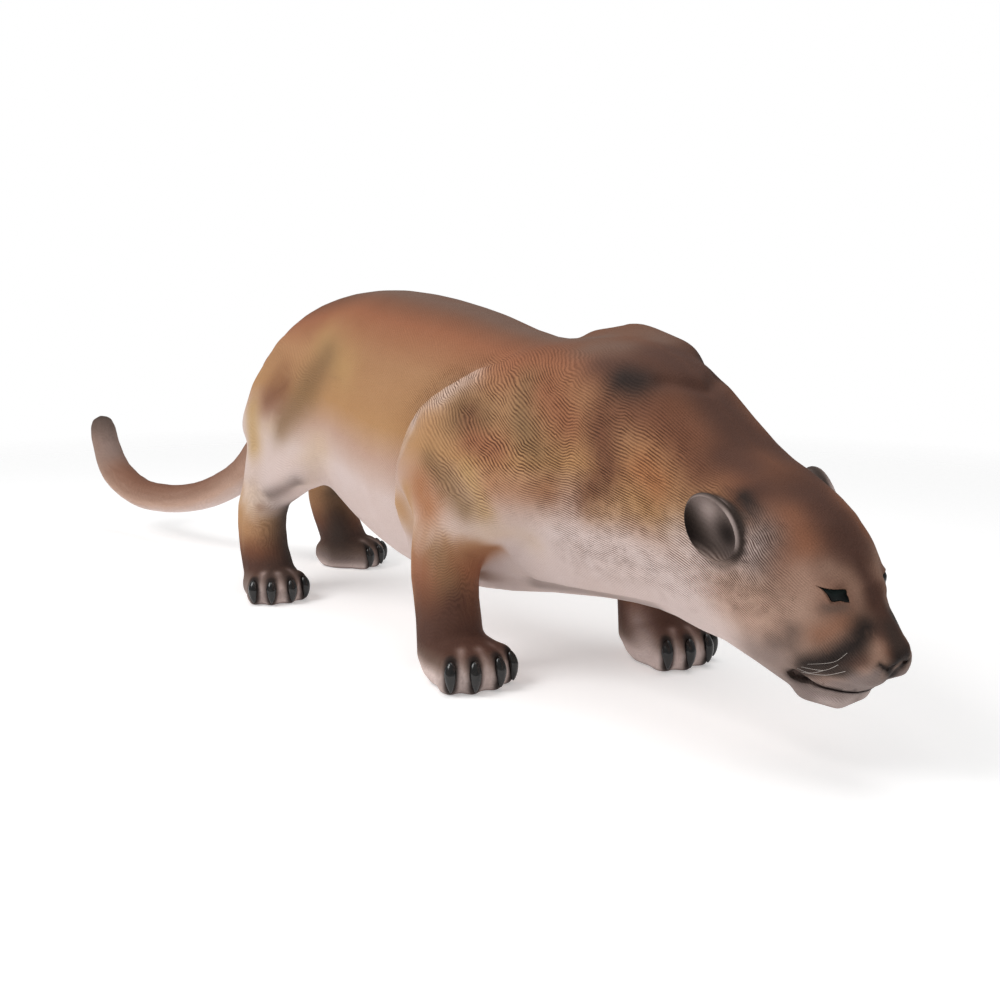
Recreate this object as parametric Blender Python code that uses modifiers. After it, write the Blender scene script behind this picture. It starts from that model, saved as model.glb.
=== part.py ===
"""A life-size moulded figure of a stalking cougar, parted by thin cuts at its named body parts.

Metres, +Z up, the nose towards +X, the animal's left side towards +Y, the floor at Z = 0.
The origin is the middle of the figure's footprint box, at floor level.
"""

import math

import bmesh
import bpy
import numpy as np
from mathutils import Euler, Matrix, Vector

# Driving sizes
GAP = 0.0003  # between neighbouring solids
VOXEL = 0.004  # the grain of the fused body before it is thinned out
SOFTENING = 90  # rounds of smoothing over the fused body
BODY_FACES = 5600  # triangles left on the body before it is parted
SECTION_POINTS = 32
STEPS_BETWEEN = 4  # rings worked out between two given sections
BEYOND = 0.6  # how far a cutter reaches past the body

FORE_TRACK = 0.152  # from the middle plane to each forepaw
HIND_TRACK = 0.130
PAWS = {  # the middle of each paw's sole, and its heading in degrees
    "fore_right": (0.412, -FORE_TRACK, -8),
    "fore_left": (0.530, FORE_TRACK, 0),
    "hind_right": (-0.194, -HIND_TRACK, -16),
    "hind_left": (-0.330, 0.124, 46),
}

# Half width, half length and height of a fore and a hind paw
PAW_SIZES = {"fore": (0.061, 0.070, 0.069), "hind": (0.055, 0.072, 0.064)}
TOE_FAN = (-50, -18, 18, 50)  # each toe's angle from the paw's heading
CLAW_RADII = (0.0055, 0.0075, 0.0020)  # at a claw's top, its middle and its point

# The left eye and ear, before the head is turned
EYE_AT = Vector((0.9650, 0.0350, 0.2300))
EYE_RADIUS = 0.018
EAR_ROOT = Vector((0.866, 0.088, 0.280))
EAR_TIP = Vector((0.831, 0.101, 0.333))
EAR_SHIFT = {"left": Vector((-0.022, -0.008, 0.002)), "right": Vector((-0.003, 0.0, -0.005))}
EAR_FACING = Vector((0.35, 0.90, 0.15))
EAR_HALF_WIDTH = 0.024
EAR_DEPTH = 0.018
EAR_WALL = 0.006

# The mouth in side view, from its open corner to the front, and the nostrils
MOUTH_CORNER = (0.918, 0.131)
MOUTH_LINE = ((0.952, 0.1190), (0.984, 0.1120), (1.060, 0.1080))
MOUTH_OPEN = 0.012
MOUTH_DEPTH = 0.028  # how far from the middle plane the open corner reaches in
JAW_LOW = 0.040  # below the chin
NOSTRIL_AT = Vector((1.026, 0.011, 0.149))
NOSTRIL_RADII = (0.009, 0.0045, 0.0035)

# The head hangs turned a little to the right and rolled: the bend grows between two places along X
HEAD_PIVOT = (0.74, 0.0, 0.27)
HEAD_YAW = -6.0
HEAD_ROLL = 5.0
BEND_FROM, BEND_TO = 0.675, 0.850

# Where the rear edge of the shoulder and upper arm stays crisp, in side view, and how far round it
BLADE_EDGE = (0.32, 0.35)
BLADE_REACH = 0.13

# Torso, neck and head in the middle plane: top x, top z, bottom x, bottom z, half width,
# height of the widest place as a share of the section, and how square the section is
SPINE = [
    (-0.372, 0.415, -0.365, 0.330, 0.040, 0.5, 2.0),
    (-0.345, 0.449, -0.340, 0.285, 0.070, 0.5, 2.0),
    (-0.290, 0.482, -0.290, 0.250, 0.096, 0.5, 2.0),
    (-0.200, 0.529, -0.200, 0.232, 0.114, 0.5, 2.0),
    (-0.090, 0.557, -0.095, 0.198, 0.126, 0.5, 2.1),
    (0.030, 0.566, 0.030, 0.140, 0.135, 0.5, 2.2),
    (0.150, 0.557, 0.150, 0.107, 0.142, 0.45, 2.2),
    (0.270, 0.535, 0.270, 0.096, 0.145, 0.45, 2.2),
    (0.370, 0.508, 0.370, 0.104, 0.138, 0.45, 2.2),
    (0.450, 0.495, 0.450, 0.117, 0.126, 0.45, 2.2),
    (0.530, 0.499, 0.530, 0.128, 0.119, 0.45, 2.2),
    (0.610, 0.497, 0.600, 0.136, 0.119, 0.5, 2.3),
    (0.690, 0.470, 0.665, 0.140, 0.118, 0.5, 2.3),
    (0.755, 0.418, 0.715, 0.137, 0.114, 0.5, 2.2),
    (0.815, 0.374, 0.765, 0.127, 0.107, 0.5, 2.2),
    (0.871, 0.349, 0.820, 0.121, 0.099, 0.5, 2.2),
    (0.930, 0.314, 0.872, 0.102, 0.088, 0.5, 2.2),
    (0.964, 0.275, 0.912, 0.086, 0.073, 0.5, 2.1),
    (0.985, 0.240, 0.940, 0.080, 0.057, 0.5, 2.0),
    (0.999, 0.210, 0.960, 0.088, 0.044, 0.5, 2.0),
    (1.018, 0.185, 0.984, 0.107, 0.034, 0.5, 2.0),
    (1.033, 0.168, 1.007, 0.129, 0.018, 0.5, 2.0),
]

TAIL = [  # x, y, z and radius along the tail, the first one inside the rump
    (-0.300, 0.000, 0.400, 0.042),
    (-0.362, -0.010, 0.325, 0.038),
    (-0.404, -0.025, 0.255, 0.035),
    (-0.470, -0.040, 0.192, 0.033),
    (-0.572, -0.055, 0.145, 0.0315),
    (-0.666, -0.070, 0.119, 0.0305),
    (-0.764, -0.085, 0.106, 0.0315),
    (-0.874, -0.100, 0.108, 0.0330),
    (-0.968, -0.115, 0.146, 0.0340),
    (-0.997, -0.125, 0.208, 0.0305),
    (-0.998, -0.130, 0.250, 0.028),
    (-0.996, -0.130, 0.270, 0.020),
    (-0.995, -0.130, 0.278, 0.008),
]


# Plain colour and roughness of the pieces, by how their names start
LOOKS = (
    ("eye", ((0.02, 0.02, 0.02), 0.15)),
    ("claw", ((0.02, 0.015, 0.015), 0.20)),
    ("ear", ((0.16, 0.13, 0.12), 0.75)),
    ("jaw", ((0.62, 0.54, 0.53), 0.75)),
    ("forepaw", ((0.20, 0.16, 0.14), 0.75)),
    ("hind_paw", ((0.16, 0.13, 0.12), 0.75)),
    ("tail_tip", ((0.16, 0.12, 0.10), 0.75)),
    ("", ((0.45, 0.27, 0.14), 0.75)),
)


def clear_scene():
    for thing in list(bpy.data.objects):
        bpy.data.objects.remove(thing)


def smooth_between(rows, steps):
    """Rows of numbers with others worked out between them, on a Catmull-Rom curve."""
    rows = [np.array(row, float) for row in rows]
    out = []
    for i in range(len(rows) - 1):
        before, a, b, after = rows[max(i - 1, 0)], rows[i], rows[i + 1], rows[min(i + 2, len(rows) - 1)]
        for step in range(steps):
            t = step / steps
            out.append(
                0.5
                * (
                    2 * a
                    + (b - before) * t
                    + (2 * before - 5 * a + 4 * b - after) * t**2
                    + (3 * a - before - 3 * b + after) * t**3
                )
            )
    return out + [rows[-1]]


def link(mesh, name):
    thing = bpy.data.objects.new(name, mesh)
    bpy.context.scene.collection.objects.link(thing)
    return thing


def loft(name, rings):
    """One closed body through rings of points, with a flat cap on each end."""
    bm = bmesh.new()
    rows = [[bm.verts.new(point) for point in ring] for ring in rings]
    count = len(rows[0])
    for a, b in zip(rows, rows[1:]):
        for i in range(count):
            j = (i + 1) % count
            bm.faces.new((a[i], a[j], b[j], b[i]))
    bm.faces.new(rows[0][::-1])
    bm.faces.new(rows[-1])
    bmesh.ops.recalc_face_normals(bm, faces=bm.faces)
    mesh = bpy.data.meshes.new(name)
    bm.to_mesh(mesh)
    bm.free()
    return link(mesh, name)


def rounded(angle, power):
    """A point of a superellipse, from -1 to 1 each way."""
    c, s = math.cos(angle), math.sin(angle)
    return (
        math.copysign(abs(c) ** (2 / power), c),
        math.copysign(abs(s) ** (2 / power), s),
    )


def trunk(name, sections):
    """A loft through sections of the middle plane, each from its top point to its bottom point."""
    rings = []
    for top_x, top_z, low_x, low_z, half, widest, power in smooth_between(sections, STEPS_BETWEEN):
        top, low = Vector((top_x, 0, top_z)), Vector((low_x, 0, low_z))
        middle = low.lerp(top, widest)
        ring = []
        for i in range(SECTION_POINTS):
            across, along = rounded(2 * math.pi * i / SECTION_POINTS, power)
            reach = (top - middle) * along if along > 0 else (middle - low) * along
            ring.append(middle + reach + Vector((0, half * across, 0)))
        rings.append(ring)
    return loft(name, rings)


def limb(name, stations, points=24):
    """A tapering limb. A station is x, y, z, half its width across the body and half its depth."""
    rows = smooth_between(stations, STEPS_BETWEEN)
    centres = [Vector(row[:3]) for row in rows]
    rings = []
    for i, row in enumerate(rows):
        way = (centres[min(i + 1, len(rows) - 1)] - centres[max(i - 1, 0)]).normalized()
        across = (Vector((0, 1, 0)) - way * way.y).normalized()
        along = way.cross(across)
        rings.append(
            [
                centres[i] + across * row[3] * math.cos(a) + along * row[4] * math.sin(a)
                for a in (2 * math.pi * k / points for k in range(points))
            ]
        )
    return loft(name, rings)


def blob(name, centre, radii, turn=(0, 0, 0), rings=16):
    """A stretched ball. turn is in degrees, about X, then Y, then Z."""
    mesh = bpy.data.meshes.new(name)
    bm = bmesh.new()
    bmesh.ops.create_uvsphere(bm, u_segments=2 * rings, v_segments=rings, radius=1)
    place = (
        Matrix.Translation(centre)
        @ Euler([math.radians(a) for a in turn]).to_matrix().to_4x4()
        @ Matrix.Diagonal((*radii, 1))
    )
    bmesh.ops.transform(bm, matrix=place, verts=bm.verts)
    bm.to_mesh(mesh)
    bm.free()
    return link(mesh, name)


def hull(name, balls, detail=3):
    """The tight skin round a few balls, each x, y, z and radius: one muscle group."""
    bm = bmesh.new()
    for x, y, z, radius in balls:
        place = Matrix.Translation((x, y, z))
        bmesh.ops.create_icosphere(bm, subdivisions=detail, radius=radius, matrix=place)
    bmesh.ops.delete(bm, geom=bm.edges, context="EDGES_FACES")
    bmesh.ops.convex_hull(bm, input=bm.verts)
    bmesh.ops.delete(bm, geom=[v for v in bm.verts if not v.link_faces], context="VERTS")
    mesh = bpy.data.meshes.new(name)
    bm.to_mesh(mesh)
    bm.free()
    return link(mesh, name)


def hull_pair(name, balls):
    """A muscle group of the left side and its mirror image."""
    mirrored = [(x, -y, z, radius) for x, y, z, radius in balls]
    return [hull(f"{name}_left", balls), hull(f"{name}_right", mirrored)]


def fore_leg(side, x, y):
    """Shoulder blade, upper arm and forearm. The blade's top and the elbow lag behind the paw."""
    s = math.copysign(1, y)
    b = x - PAWS["fore_right"][0]
    top = 0.5 * b
    return [
        hull(f"scapula_{side}", [
            (0.450 + 0.3 * top, s * 0.062, 0.446 + 0.22 * b, 0.037),
            (0.508 + 0.7 * top, s * 0.056, 0.449 + 0.25 * b, 0.040),
            (0.576 + 0.7 * top, s * 0.054, 0.434 + 0.17 * b, 0.045),
            (0.345 + top, s * 0.112, 0.372, 0.034),
            (0.560 + top, s * 0.080, 0.350, 0.052),
            (0.440 + top, s * 0.100, 0.330, 0.055),
            (0.550 + top, s * 0.076, 0.255, 0.050),
        ]),
        hull(f"upper_arm_{side}", [
            (0.335 + top, s * 0.127, 0.358, 0.037),
            (0.298 + 0.7 * b, s * 0.131, 0.285, 0.040),
            (0.430 + 0.7 * b, s * 0.124, 0.275, 0.048),
            (0.525 + top, s * 0.100, 0.305, 0.052),
            (0.374 + 0.8 * b, s * 0.140, 0.215, 0.046),
        ]),
        limb(f"fore_arm_{side}", [
            (0.395 + 0.6 * b, s * 0.125, 0.29, 0.040, 0.060),
            (0.370 + 0.8 * b, s * 0.141, 0.22, 0.046, 0.066),
            (0.370 + b, y, 0.15, 0.046, 0.056),
            (0.376 + b, y, 0.09, 0.047, 0.051),
            (0.384 + b, y, 0.03, 0.050, 0.054),
        ]),
    ]


def hind_leg(side, x, y):
    """Thigh, shank and hind foot. The knee follows the paw's stride in part."""
    s = math.copysign(1, y)
    b = x - PAWS["hind_right"][0]
    return [
        hull(f"thigh_{side}", [
            (-0.155 + 0.1 * b, s * 0.078, 0.445, 0.052),
            (-0.050 + 0.1 * b, s * 0.092, 0.415, 0.046),
            (-0.236 + 0.3 * b, s * 0.082, 0.375, 0.052),
            (-0.242 + 0.4 * b, s * 0.106, 0.318, 0.047),
            (-0.020 + 0.4 * b, s * 0.090, 0.335, 0.045),
            (-0.080 + 0.6 * b, s * 0.116, 0.258, 0.043),
        ]),
        hull(f"shank_{side}", [
            (-0.090 + 0.6 * b, s * 0.118, 0.255, 0.040),
            (-0.215 + 0.5 * b, s * 0.112, 0.285, 0.043),
            (-0.222 + b, s * 0.130, 0.185, 0.040),
        ]),
        limb(f"hind_foot_{side}", [
            (-0.195 + 1.10 * b, s * 0.128, 0.21, 0.042, 0.048),
            (-0.224 + 1.27 * b, y, 0.165, 0.044, 0.052),
            (-0.228 + 1.22 * b, y, 0.12, 0.044, 0.047),
            (-0.220 + 1.08 * b, y, 0.08, 0.044, 0.047),
            (-0.200 + b, y, 0.03, 0.047, 0.050),
        ]),
    ]


def way_of(degrees):
    return Vector((math.cos(math.radians(degrees)), math.sin(math.radians(degrees)), 0))


def toe_places(name):
    """Each toe's centre, the way it points and its three radii, fanned round the paw's front."""
    half_width, half_length, height = PAW_SIZES[name.split("_")[0]]
    x, y, heading = PAWS[name]
    forward, aside = way_of(heading), way_of(heading + 90)
    radii = (half_length * 0.44, half_width * 0.34, height * 0.50)
    for turn in TOE_FAN:
        reach = forward * half_length * 0.64 * math.cos(math.radians(turn))
        reach += aside * half_width * 0.86 * math.sin(math.radians(turn))
        point = way_of(heading + 0.5 * turn)
        yield Vector((x, y, height * 0.38)) + reach, point, radii


def paw(name):
    """A palm and four toes. Their undersides reach below the floor, where they are cut level."""
    half_width, half_length, height = PAW_SIZES[name.split("_")[0]]
    x, y, heading = PAWS[name]
    radii = (half_length, half_width, height * 0.64)
    pieces = [blob(f"{name}_palm", (x, y, height * 0.42), radii, (0, 0, heading))]
    for i, (centre, point, radii) in enumerate(toe_places(name)):
        turn = math.degrees(math.atan2(point.y, point.x))
        pieces.append(blob(f"{name}_toe_{i}", centre, radii, (0, 0, turn), rings=10))
    return pieces


def claws(name, grow=0.0):
    """The four claws of a paw: drop-shaped, broad above and pointed below, on the fronts of the toes."""
    out = []
    for i, (centre, point, (length, width, height)) in enumerate(toe_places(name)):
        high = centre + point * length * 0.70 + Vector((0, 0, height * 0.56))
        middle = centre + point * length * 0.84 + Vector((0, 0, height * 0.16))
        low = centre + point * length * 0.88 - Vector((0, 0, height * 0.52))
        balls = [(*at, radius + grow) for at, radius in zip((high, middle, low), CLAW_RADII)]
        out.append(hull(f"claw_{name}_{i + 1}", balls, detail=1))
    return out


def face():
    """The masses that stand out from the head's own sections."""
    return [
        *hull_pair("cheek", [
            (0.850, 0.060, 0.235, 0.040),
            (0.830, 0.054, 0.178, 0.036),
            (0.888, 0.048, 0.160, 0.036),
            (0.915, 0.046, 0.225, 0.034),
        ]),
        *hull_pair("brow", [
            (0.922, 0.034, 0.252, 0.036),
            (0.958, 0.029, 0.229, 0.024),
            (0.974, 0.012, 0.224, 0.022),
        ]),
        *hull_pair("muzzle", [
            (0.999, 0.017, 0.147, 0.0245),
            (0.955, 0.033, 0.156, 0.029),
            (0.972, 0.022, 0.180, 0.027),
        ]),
        hull("chin", [
            (0.951, 0.014, 0.103, 0.022),
            (0.951, -0.014, 0.103, 0.022),
            (0.926, 0.025, 0.112, 0.027),
            (0.926, -0.025, 0.112, 0.027),
        ]),
        hull("nose", [
            (1.018, 0.008, 0.163, 0.015),
            (1.018, -0.008, 0.163, 0.015),
            (0.984, 0, 0.208, 0.018),
        ]),
    ]


def sided(point, side):
    """The point as it is on the left side, or mirrored to the right."""
    return Vector((point.x, point.y if side == "left" else -point.y, point.z))


def eye(side, grow=0.0):
    return blob(f"eye_{side}", sided(EYE_AT, side), [EYE_RADIUS + grow] * 3, rings=8)


def cup_axes(side):
    """The ear's length, width and facing, for the turn of its cup."""
    long = sided(EAR_TIP - EAR_ROOT, side).normalized()
    facing = sided(EAR_FACING, side)
    facing = (facing - long * facing.dot(long)).normalized()
    return Matrix((long, facing.cross(long), facing)).transposed()


def cup(name, side, shift, inset):
    """A stretched ball in the ear's own turn, moved out by shift and made smaller by inset."""
    axes = cup_axes(side)
    centre = sided((EAR_ROOT + EAR_TIP) / 2 + EAR_SHIFT[side], side) + axes @ Vector((0, 0, shift))
    half_length = (EAR_TIP - EAR_ROOT).length / 2 + EAR_WALL
    radii = [size - inset for size in (half_length, EAR_HALF_WIDTH, EAR_DEPTH)]
    turn = [math.degrees(angle) for angle in axes.to_euler()]
    return blob(name, centre, radii, turn, rings=9)


def ear(side):
    """A rounded cup laid back along the head, open to the side, with its root sunk in the head."""
    outer = cup(f"ear_{side}", side, 0.0, 0.0)
    cut(outer, [cup("hollow", side, EAR_DEPTH * 0.55, EAR_WALL)])
    return outer


def bend_head(thing):
    """Turns and rolls the head about its pivot, with the bend spread along the neck."""
    pivot = np.array(HEAD_PIVOT)
    mesh = thing.data
    co = np.zeros(len(mesh.vertices) * 3)
    mesh.vertices.foreach_get("co", co)
    co = co.reshape(-1, 3)
    t = np.clip((co[:, 0] - BEND_FROM) / (BEND_TO - BEND_FROM), 0, 1)
    share = t * t * (3 - 2 * t)
    out = co.copy()
    yaw, roll = math.radians(HEAD_YAW) * share, math.radians(HEAD_ROLL) * share
    d = co - pivot
    y = d[:, 1] * np.cos(roll) - d[:, 2] * np.sin(roll)
    z = d[:, 1] * np.sin(roll) + d[:, 2] * np.cos(roll)
    out[:, 0] = pivot[0] + d[:, 0] * np.cos(yaw) - y * np.sin(yaw)
    out[:, 1] = pivot[1] + d[:, 0] * np.sin(yaw) + y * np.cos(yaw)
    out[:, 2] = pivot[2] + z
    mesh.vertices.foreach_set("co", out.ravel())
    mesh.update()
    return thing


def fuse(name, pieces, voxel):
    """Joins closed pieces into one body."""
    bm = bmesh.new()
    for piece in pieces:
        bm.from_mesh(piece.data)
    for piece in pieces:
        bpy.data.objects.remove(piece)
    mesh = bpy.data.meshes.new(name)
    bm.to_mesh(mesh)
    bm.free()
    thing = link(mesh, name)
    remesh = thing.modifiers.new("fuse", "REMESH")
    remesh.mode = "VOXEL"
    remesh.voxel_size = voxel
    return bake(thing)


def soften(thing, rounds, share):
    """Melts creases, by a share of each step that is worked out from the place."""
    mesh = thing.data
    group = thing.vertex_groups.new(name="soften")
    weights = share(points_of(mesh))
    for i, weight in enumerate(weights):
        group.add([i], float(weight), "REPLACE")
    smooth = thing.modifiers.new("soften", "SMOOTH")
    smooth.factor = 0.5
    smooth.iterations = rounds
    smooth.vertex_group = group.name
    bake(thing)
    thing.vertex_groups.clear()
    return thing


def points_of(mesh):
    co = np.zeros(len(mesh.vertices) * 3)
    mesh.vertices.foreach_get("co", co)
    return co.reshape(-1, 3)


def bake(thing):
    """Applies the modifiers."""
    bpy.context.view_layer.update()
    evaluated = thing.evaluated_get(bpy.context.evaluated_depsgraph_get())
    mesh = bpy.data.meshes.new_from_object(evaluated)
    thing.modifiers.clear()
    thing.data = mesh
    return thing


def ramp(value, low, high):
    t = np.clip((value - low) / (high - low), 0, 1)
    return t * t * (3 - 2 * t)


def body_share(co):
    """1 on the trunk and upper legs, less where forms are small or crisp."""
    face = 1 - 0.86 * ramp(co[:, 0], 0.80, 0.90)
    paws = 0.10 + 0.90 * ramp(co[:, 2], 0.07, 0.16)
    tail = 0.20 + 0.80 * ramp(co[:, 0], -0.42, -0.36)
    x, z = BLADE_EDGE
    blade = 1 - 0.60 * np.exp(-((co[:, 0] - x) ** 2 + (co[:, 2] - z) ** 2) / BLADE_REACH**2)
    return face * paws * tail * blade


def flesh():
    """Trunk, legs, paws, face and tail as one smooth body, thinned out, with level soles."""
    pieces = [trunk("torso", SPINE), *face()]
    for name, (x, y, _) in PAWS.items():
        kind, side = name.split("_")
        pieces += fore_leg(side, x, y) if kind == "fore" else hind_leg(side, x, y)
        pieces += paw(name)
    pieces.append(limb("tail", [(x, y, z, r, r) for x, y, z, r in TAIL]))
    body = fuse("torso_rear", pieces, VOXEL)
    soften(body, SOFTENING, body_share)
    thin = body.modifiers.new("thin", "DECIMATE")
    thin.ratio = BODY_FACES / (2 * len(body.data.polygons))
    bake(body)
    cut(body, [box("floor", (-2, 2), (-2, 2), (-1, 0))])
    return body


def box(name, x, y, z):
    """A box between two places along each axis."""
    bm = bmesh.new()
    bmesh.ops.create_cube(bm, size=1)
    size = Vector((x[1] - x[0], y[1] - y[0], z[1] - z[0]))
    middle = Vector((x[0] + x[1], y[0] + y[1], z[0] + z[1])) / 2
    bmesh.ops.transform(bm, matrix=Matrix.LocRotScale(middle, None, size), verts=bm.verts)
    mesh = bpy.data.meshes.new(name)
    bm.to_mesh(mesh)
    bm.free()
    return link(mesh, name)


def half_space(name, point, normal):
    """A large box with one face through the point, on the side that the normal points to."""
    thing = box(name, (-BEYOND, BEYOND), (-BEYOND, BEYOND), (0, 2 * BEYOND))
    turn = Vector(normal).to_track_quat("Z", "Y")
    thing.data.transform(Matrix.Translation(point) @ turn.to_matrix().to_4x4())
    return thing


def slab(name, outline, low, high):
    """An upright slab: an outline in side view, drawn out from low to high across the body."""
    bm = bmesh.new()
    floor = bm.faces.new([bm.verts.new((x, low, z)) for x, z in outline])
    wall = bmesh.ops.extrude_face_region(bm, geom=[floor])
    moved = [v for v in wall["geom"] if isinstance(v, bmesh.types.BMVert)]
    bmesh.ops.translate(bm, vec=(0, high - low, 0), verts=moved)
    bmesh.ops.recalc_face_normals(bm, faces=bm.faces)
    mesh = bpy.data.meshes.new(name)
    bm.to_mesh(mesh)
    bm.free()
    return link(mesh, name)


def boolean(thing, cutters, operation):
    """Cuts with each closed cutter in turn, and then removes the cutters."""
    for cutter in cutters:
        step = thing.modifiers.new("cut", "BOOLEAN")
        step.operation = operation
        step.object = cutter
    bake(thing)
    for cutter in cutters:
        bpy.data.objects.remove(cutter)
    return thing


def cut(thing, cutters):
    return boolean(thing, cutters, "DIFFERENCE")


def part_off(thing, name, cutter, grown):
    """Moves what lies in the cutter to a piece of its own, and leaves the gap between the two."""
    piece = link(thing.data.copy(), name)
    boolean(piece, [cutter], "INTERSECT")
    cut(thing, [grown])
    return piece


def part_at(thing, name, point, normal):
    """Parts the piece off at a plane, on the side that the normal points to."""
    back = Vector(point) - Vector(normal).normalized() * GAP
    return part_off(thing, name, half_space("front", point, normal), half_space("back", back, normal))


def smooth_outline(points):
    """A closed outline of few points, rounded on a Catmull-Rom curve."""
    ring = [points[-1], *points, points[0], points[1]]
    steps = STEPS_BETWEEN // 2
    return [tuple(point) for point in smooth_between(ring, steps)[steps:-1 - steps]]


def grown_outline(points, by):
    """The outline moved outwards by a small distance."""
    area = sum(a[0] * b[1] - b[0] * a[1] for a, b in zip(points, points[1:] + points[:1]))
    turn = math.copysign(1, area)
    out = []
    for before, here, after in zip(points[-1:] + points[:-1], points, points[1:] + points[:1]):
        a = (Vector(here) - Vector(before)).normalized()
        b = (Vector(after) - Vector(here)).normalized()
        middle = (a + b).normalized()
        outwards = Vector((middle.y, -middle.x)) * turn
        corner = max(math.sqrt((1 + a.dot(b)) / 2), 0.5)
        out.append(tuple(Vector(here) + outwards * by / corner))
    return out


def part_leg(thing, name, outline, side, inner):
    """Parts off a leg: what lies in the outline in side view, from inner out to past the skin."""
    rounded_edge = smooth_outline(outline)
    wide = grown_outline(rounded_edge, GAP)
    s = 1 if side == "left" else -1
    inside = slab("inside", rounded_edge, *sorted((s * inner, s * BEYOND)))
    outside = slab("outside", wide, *sorted((s * (inner - GAP), s * BEYOND)))
    return part_off(thing, name, inside, outside)


def fore_outline(b):
    """The foreleg's edge on the body in side view, from the elbow round the shoulder blade."""
    top = 0.5 * b
    return [
        (0.248 + 0.7 * b, 0.280),
        (0.280 + top, 0.385),
        (0.370 + top, 0.452),
        (0.460 + top, 0.520),
        (0.560 + top, 0.520),
        (0.622 + 0.8 * top, 0.420),
        (0.618 + 0.8 * top, 0.330),
        (0.585 + top, 0.262),
        (0.495 + 0.7 * b, 0.205),
        (0.444 + b, 0.165),
        (0.450 + b, 0.115),
        (0.520 + b, 0.080),
        (0.530 + b, -0.030),
        (0.300 + b, -0.030),
        (0.290 + b, 0.120),
        (0.275 + 0.9 * b, 0.200),
    ]


def hind_outline(b):
    """The hind leg's edge on the body in side view, from the hock round the thigh."""
    return [
        (-0.300 + 0.4 * b, 0.300),
        (-0.318 + 0.3 * b, 0.370),
        (-0.275 + 0.15 * b, 0.450),
        (-0.190 + 0.1 * b, 0.520),
        (-0.060 + 0.1 * b, 0.520),
        (0.015 + 0.2 * b, 0.430),
        (0.040 + 0.4 * b, 0.335),
        (0.000 + 0.5 * b, 0.250),
        (-0.080 + 0.7 * b, 0.190),
        (-0.145 + b, 0.140),
        (-0.135 + b, 0.095),
        (-0.080 + b, 0.085),
        (-0.075 + b, -0.030),
        (-0.290 + b, -0.030),
        (-0.312 + 1.2 * b, 0.130),
        (-0.305 + 1.05 * b, 0.200),
    ]


# Of each kind of leg: its three lengths, its edge in side view, how far in from the middle plane
# it is parted, and the height and tilt of the cut below its upper length
LEG_PARTS = {
    "fore": (("shoulder", "forearm", "forepaw"), fore_outline, 0.088, 0.212, (0.10, 0, -1)),
    "hind": (("thigh", "hind_foot", "hind_paw"), hind_outline, 0.070, 0.190, (-0.45, 0, -1)),
}
WRIST = 0.072  # the height of the cut above a paw
WRIST_TILT = (0.12, 0, -1)


def part_legs(body):
    """Each leg in three lengths, with the claws seated in the paw."""
    pieces = []
    for paw_name, (x, y, _) in PAWS.items():
        kind, side = paw_name.split("_")
        names, outline_at, inner, knee, tilt = LEG_PARTS[kind]
        upper_name, lower_name, foot_name = (f"{name}_{side}" for name in names)
        outline = outline_at(x - PAWS[f"{kind}_right"][0])
        upper = part_leg(body, upper_name, outline, side, inner)
        lower = part_at(upper, lower_name, (x - 0.05, y, knee), tilt)
        foot = part_at(lower, foot_name, (x, y, WRIST), WRIST_TILT)
        cut(foot, claws(paw_name, GAP))
        pieces += [upper, lower, foot, *claws(paw_name)]
    return pieces


def part_tail(body):
    """The tail in three lengths, cut square to its run."""
    run = [Vector(row[:3]) for row in TAIL]
    base = part_at(body, "tail_base", (-0.383, -0.017, 0.290), (-0.62, -0.15, -0.77))
    middle = part_at(base, "tail_middle", run[4], run[5] - run[3])
    tip = part_at(middle, "tail_tip", run[7], run[8] - run[6])
    return [base, middle, tip]


def part_head(body):
    """Neck, head and jaw, the mouth's open corners, the nostrils, and the eyes and ears in their seats."""
    neck = part_at(body, "neck", (0.632, 0, 0.310), (0.98, 0, -0.20))
    head = part_at(neck, "head", (0.775, 0, 0.270), (0.93, -0.05, -0.37))
    x, z = MOUTH_CORNER
    upper_lip = (x + MOUTH_OPEN, z + MOUTH_OPEN * 0.45)
    lower_lip = (x + MOUTH_OPEN, z - MOUTH_OPEN * 0.60)
    opening = [(x, z), upper_lip, MOUTH_LINE[0], lower_lip]
    for s in (-1, 1):
        cut(head, [bend_head(slab("corner", opening, *sorted((s * MOUTH_DEPTH, s * BEYOND))))])
    edge = [(x, z - 0.001), *MOUTH_LINE, (MOUTH_LINE[-1][0], JAW_LOW), (x - 0.030, JAW_LOW)]
    inside = bend_head(slab("inside", edge, -BEYOND, BEYOND))
    outside = bend_head(slab("outside", grown_outline(edge, GAP), -BEYOND, BEYOND))
    pieces = [neck, head, part_off(head, "jaw", inside, outside)]
    for side in ("left", "right"):
        nostril = blob("nostril", sided(NOSTRIL_AT, side), NOSTRIL_RADII, rings=6)
        seats = [eye(side, GAP), cup("seat", side, 0.0, -GAP), nostril]
        cut(head, [bend_head(seat) for seat in seats])
        pieces += [bend_head(eye(side)), bend_head(ear(side))]
    return pieces


def keep_largest(thing):
    """Keeps only the piece's largest closed surface."""
    bm = bmesh.new()
    bm.from_mesh(thing.data)
    bmesh.ops.remove_doubles(bm, verts=bm.verts, dist=0.00001)
    left, shells = set(bm.verts), []
    while left:
        shell, front = set(), [left.pop()]
        while front:
            vert = front.pop()
            shell.add(vert)
            near = {edge.other_vert(vert) for edge in vert.link_edges} & left
            left -= near
            front += near
        shells.append(shell)
    largest = max(shells, key=len)
    bmesh.ops.delete(bm, geom=[v for v in bm.verts if v not in largest], context="VERTS")
    bmesh.ops.recalc_face_normals(bm, faces=bm.faces)
    bm.to_mesh(thing.data)
    bm.free()


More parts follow.
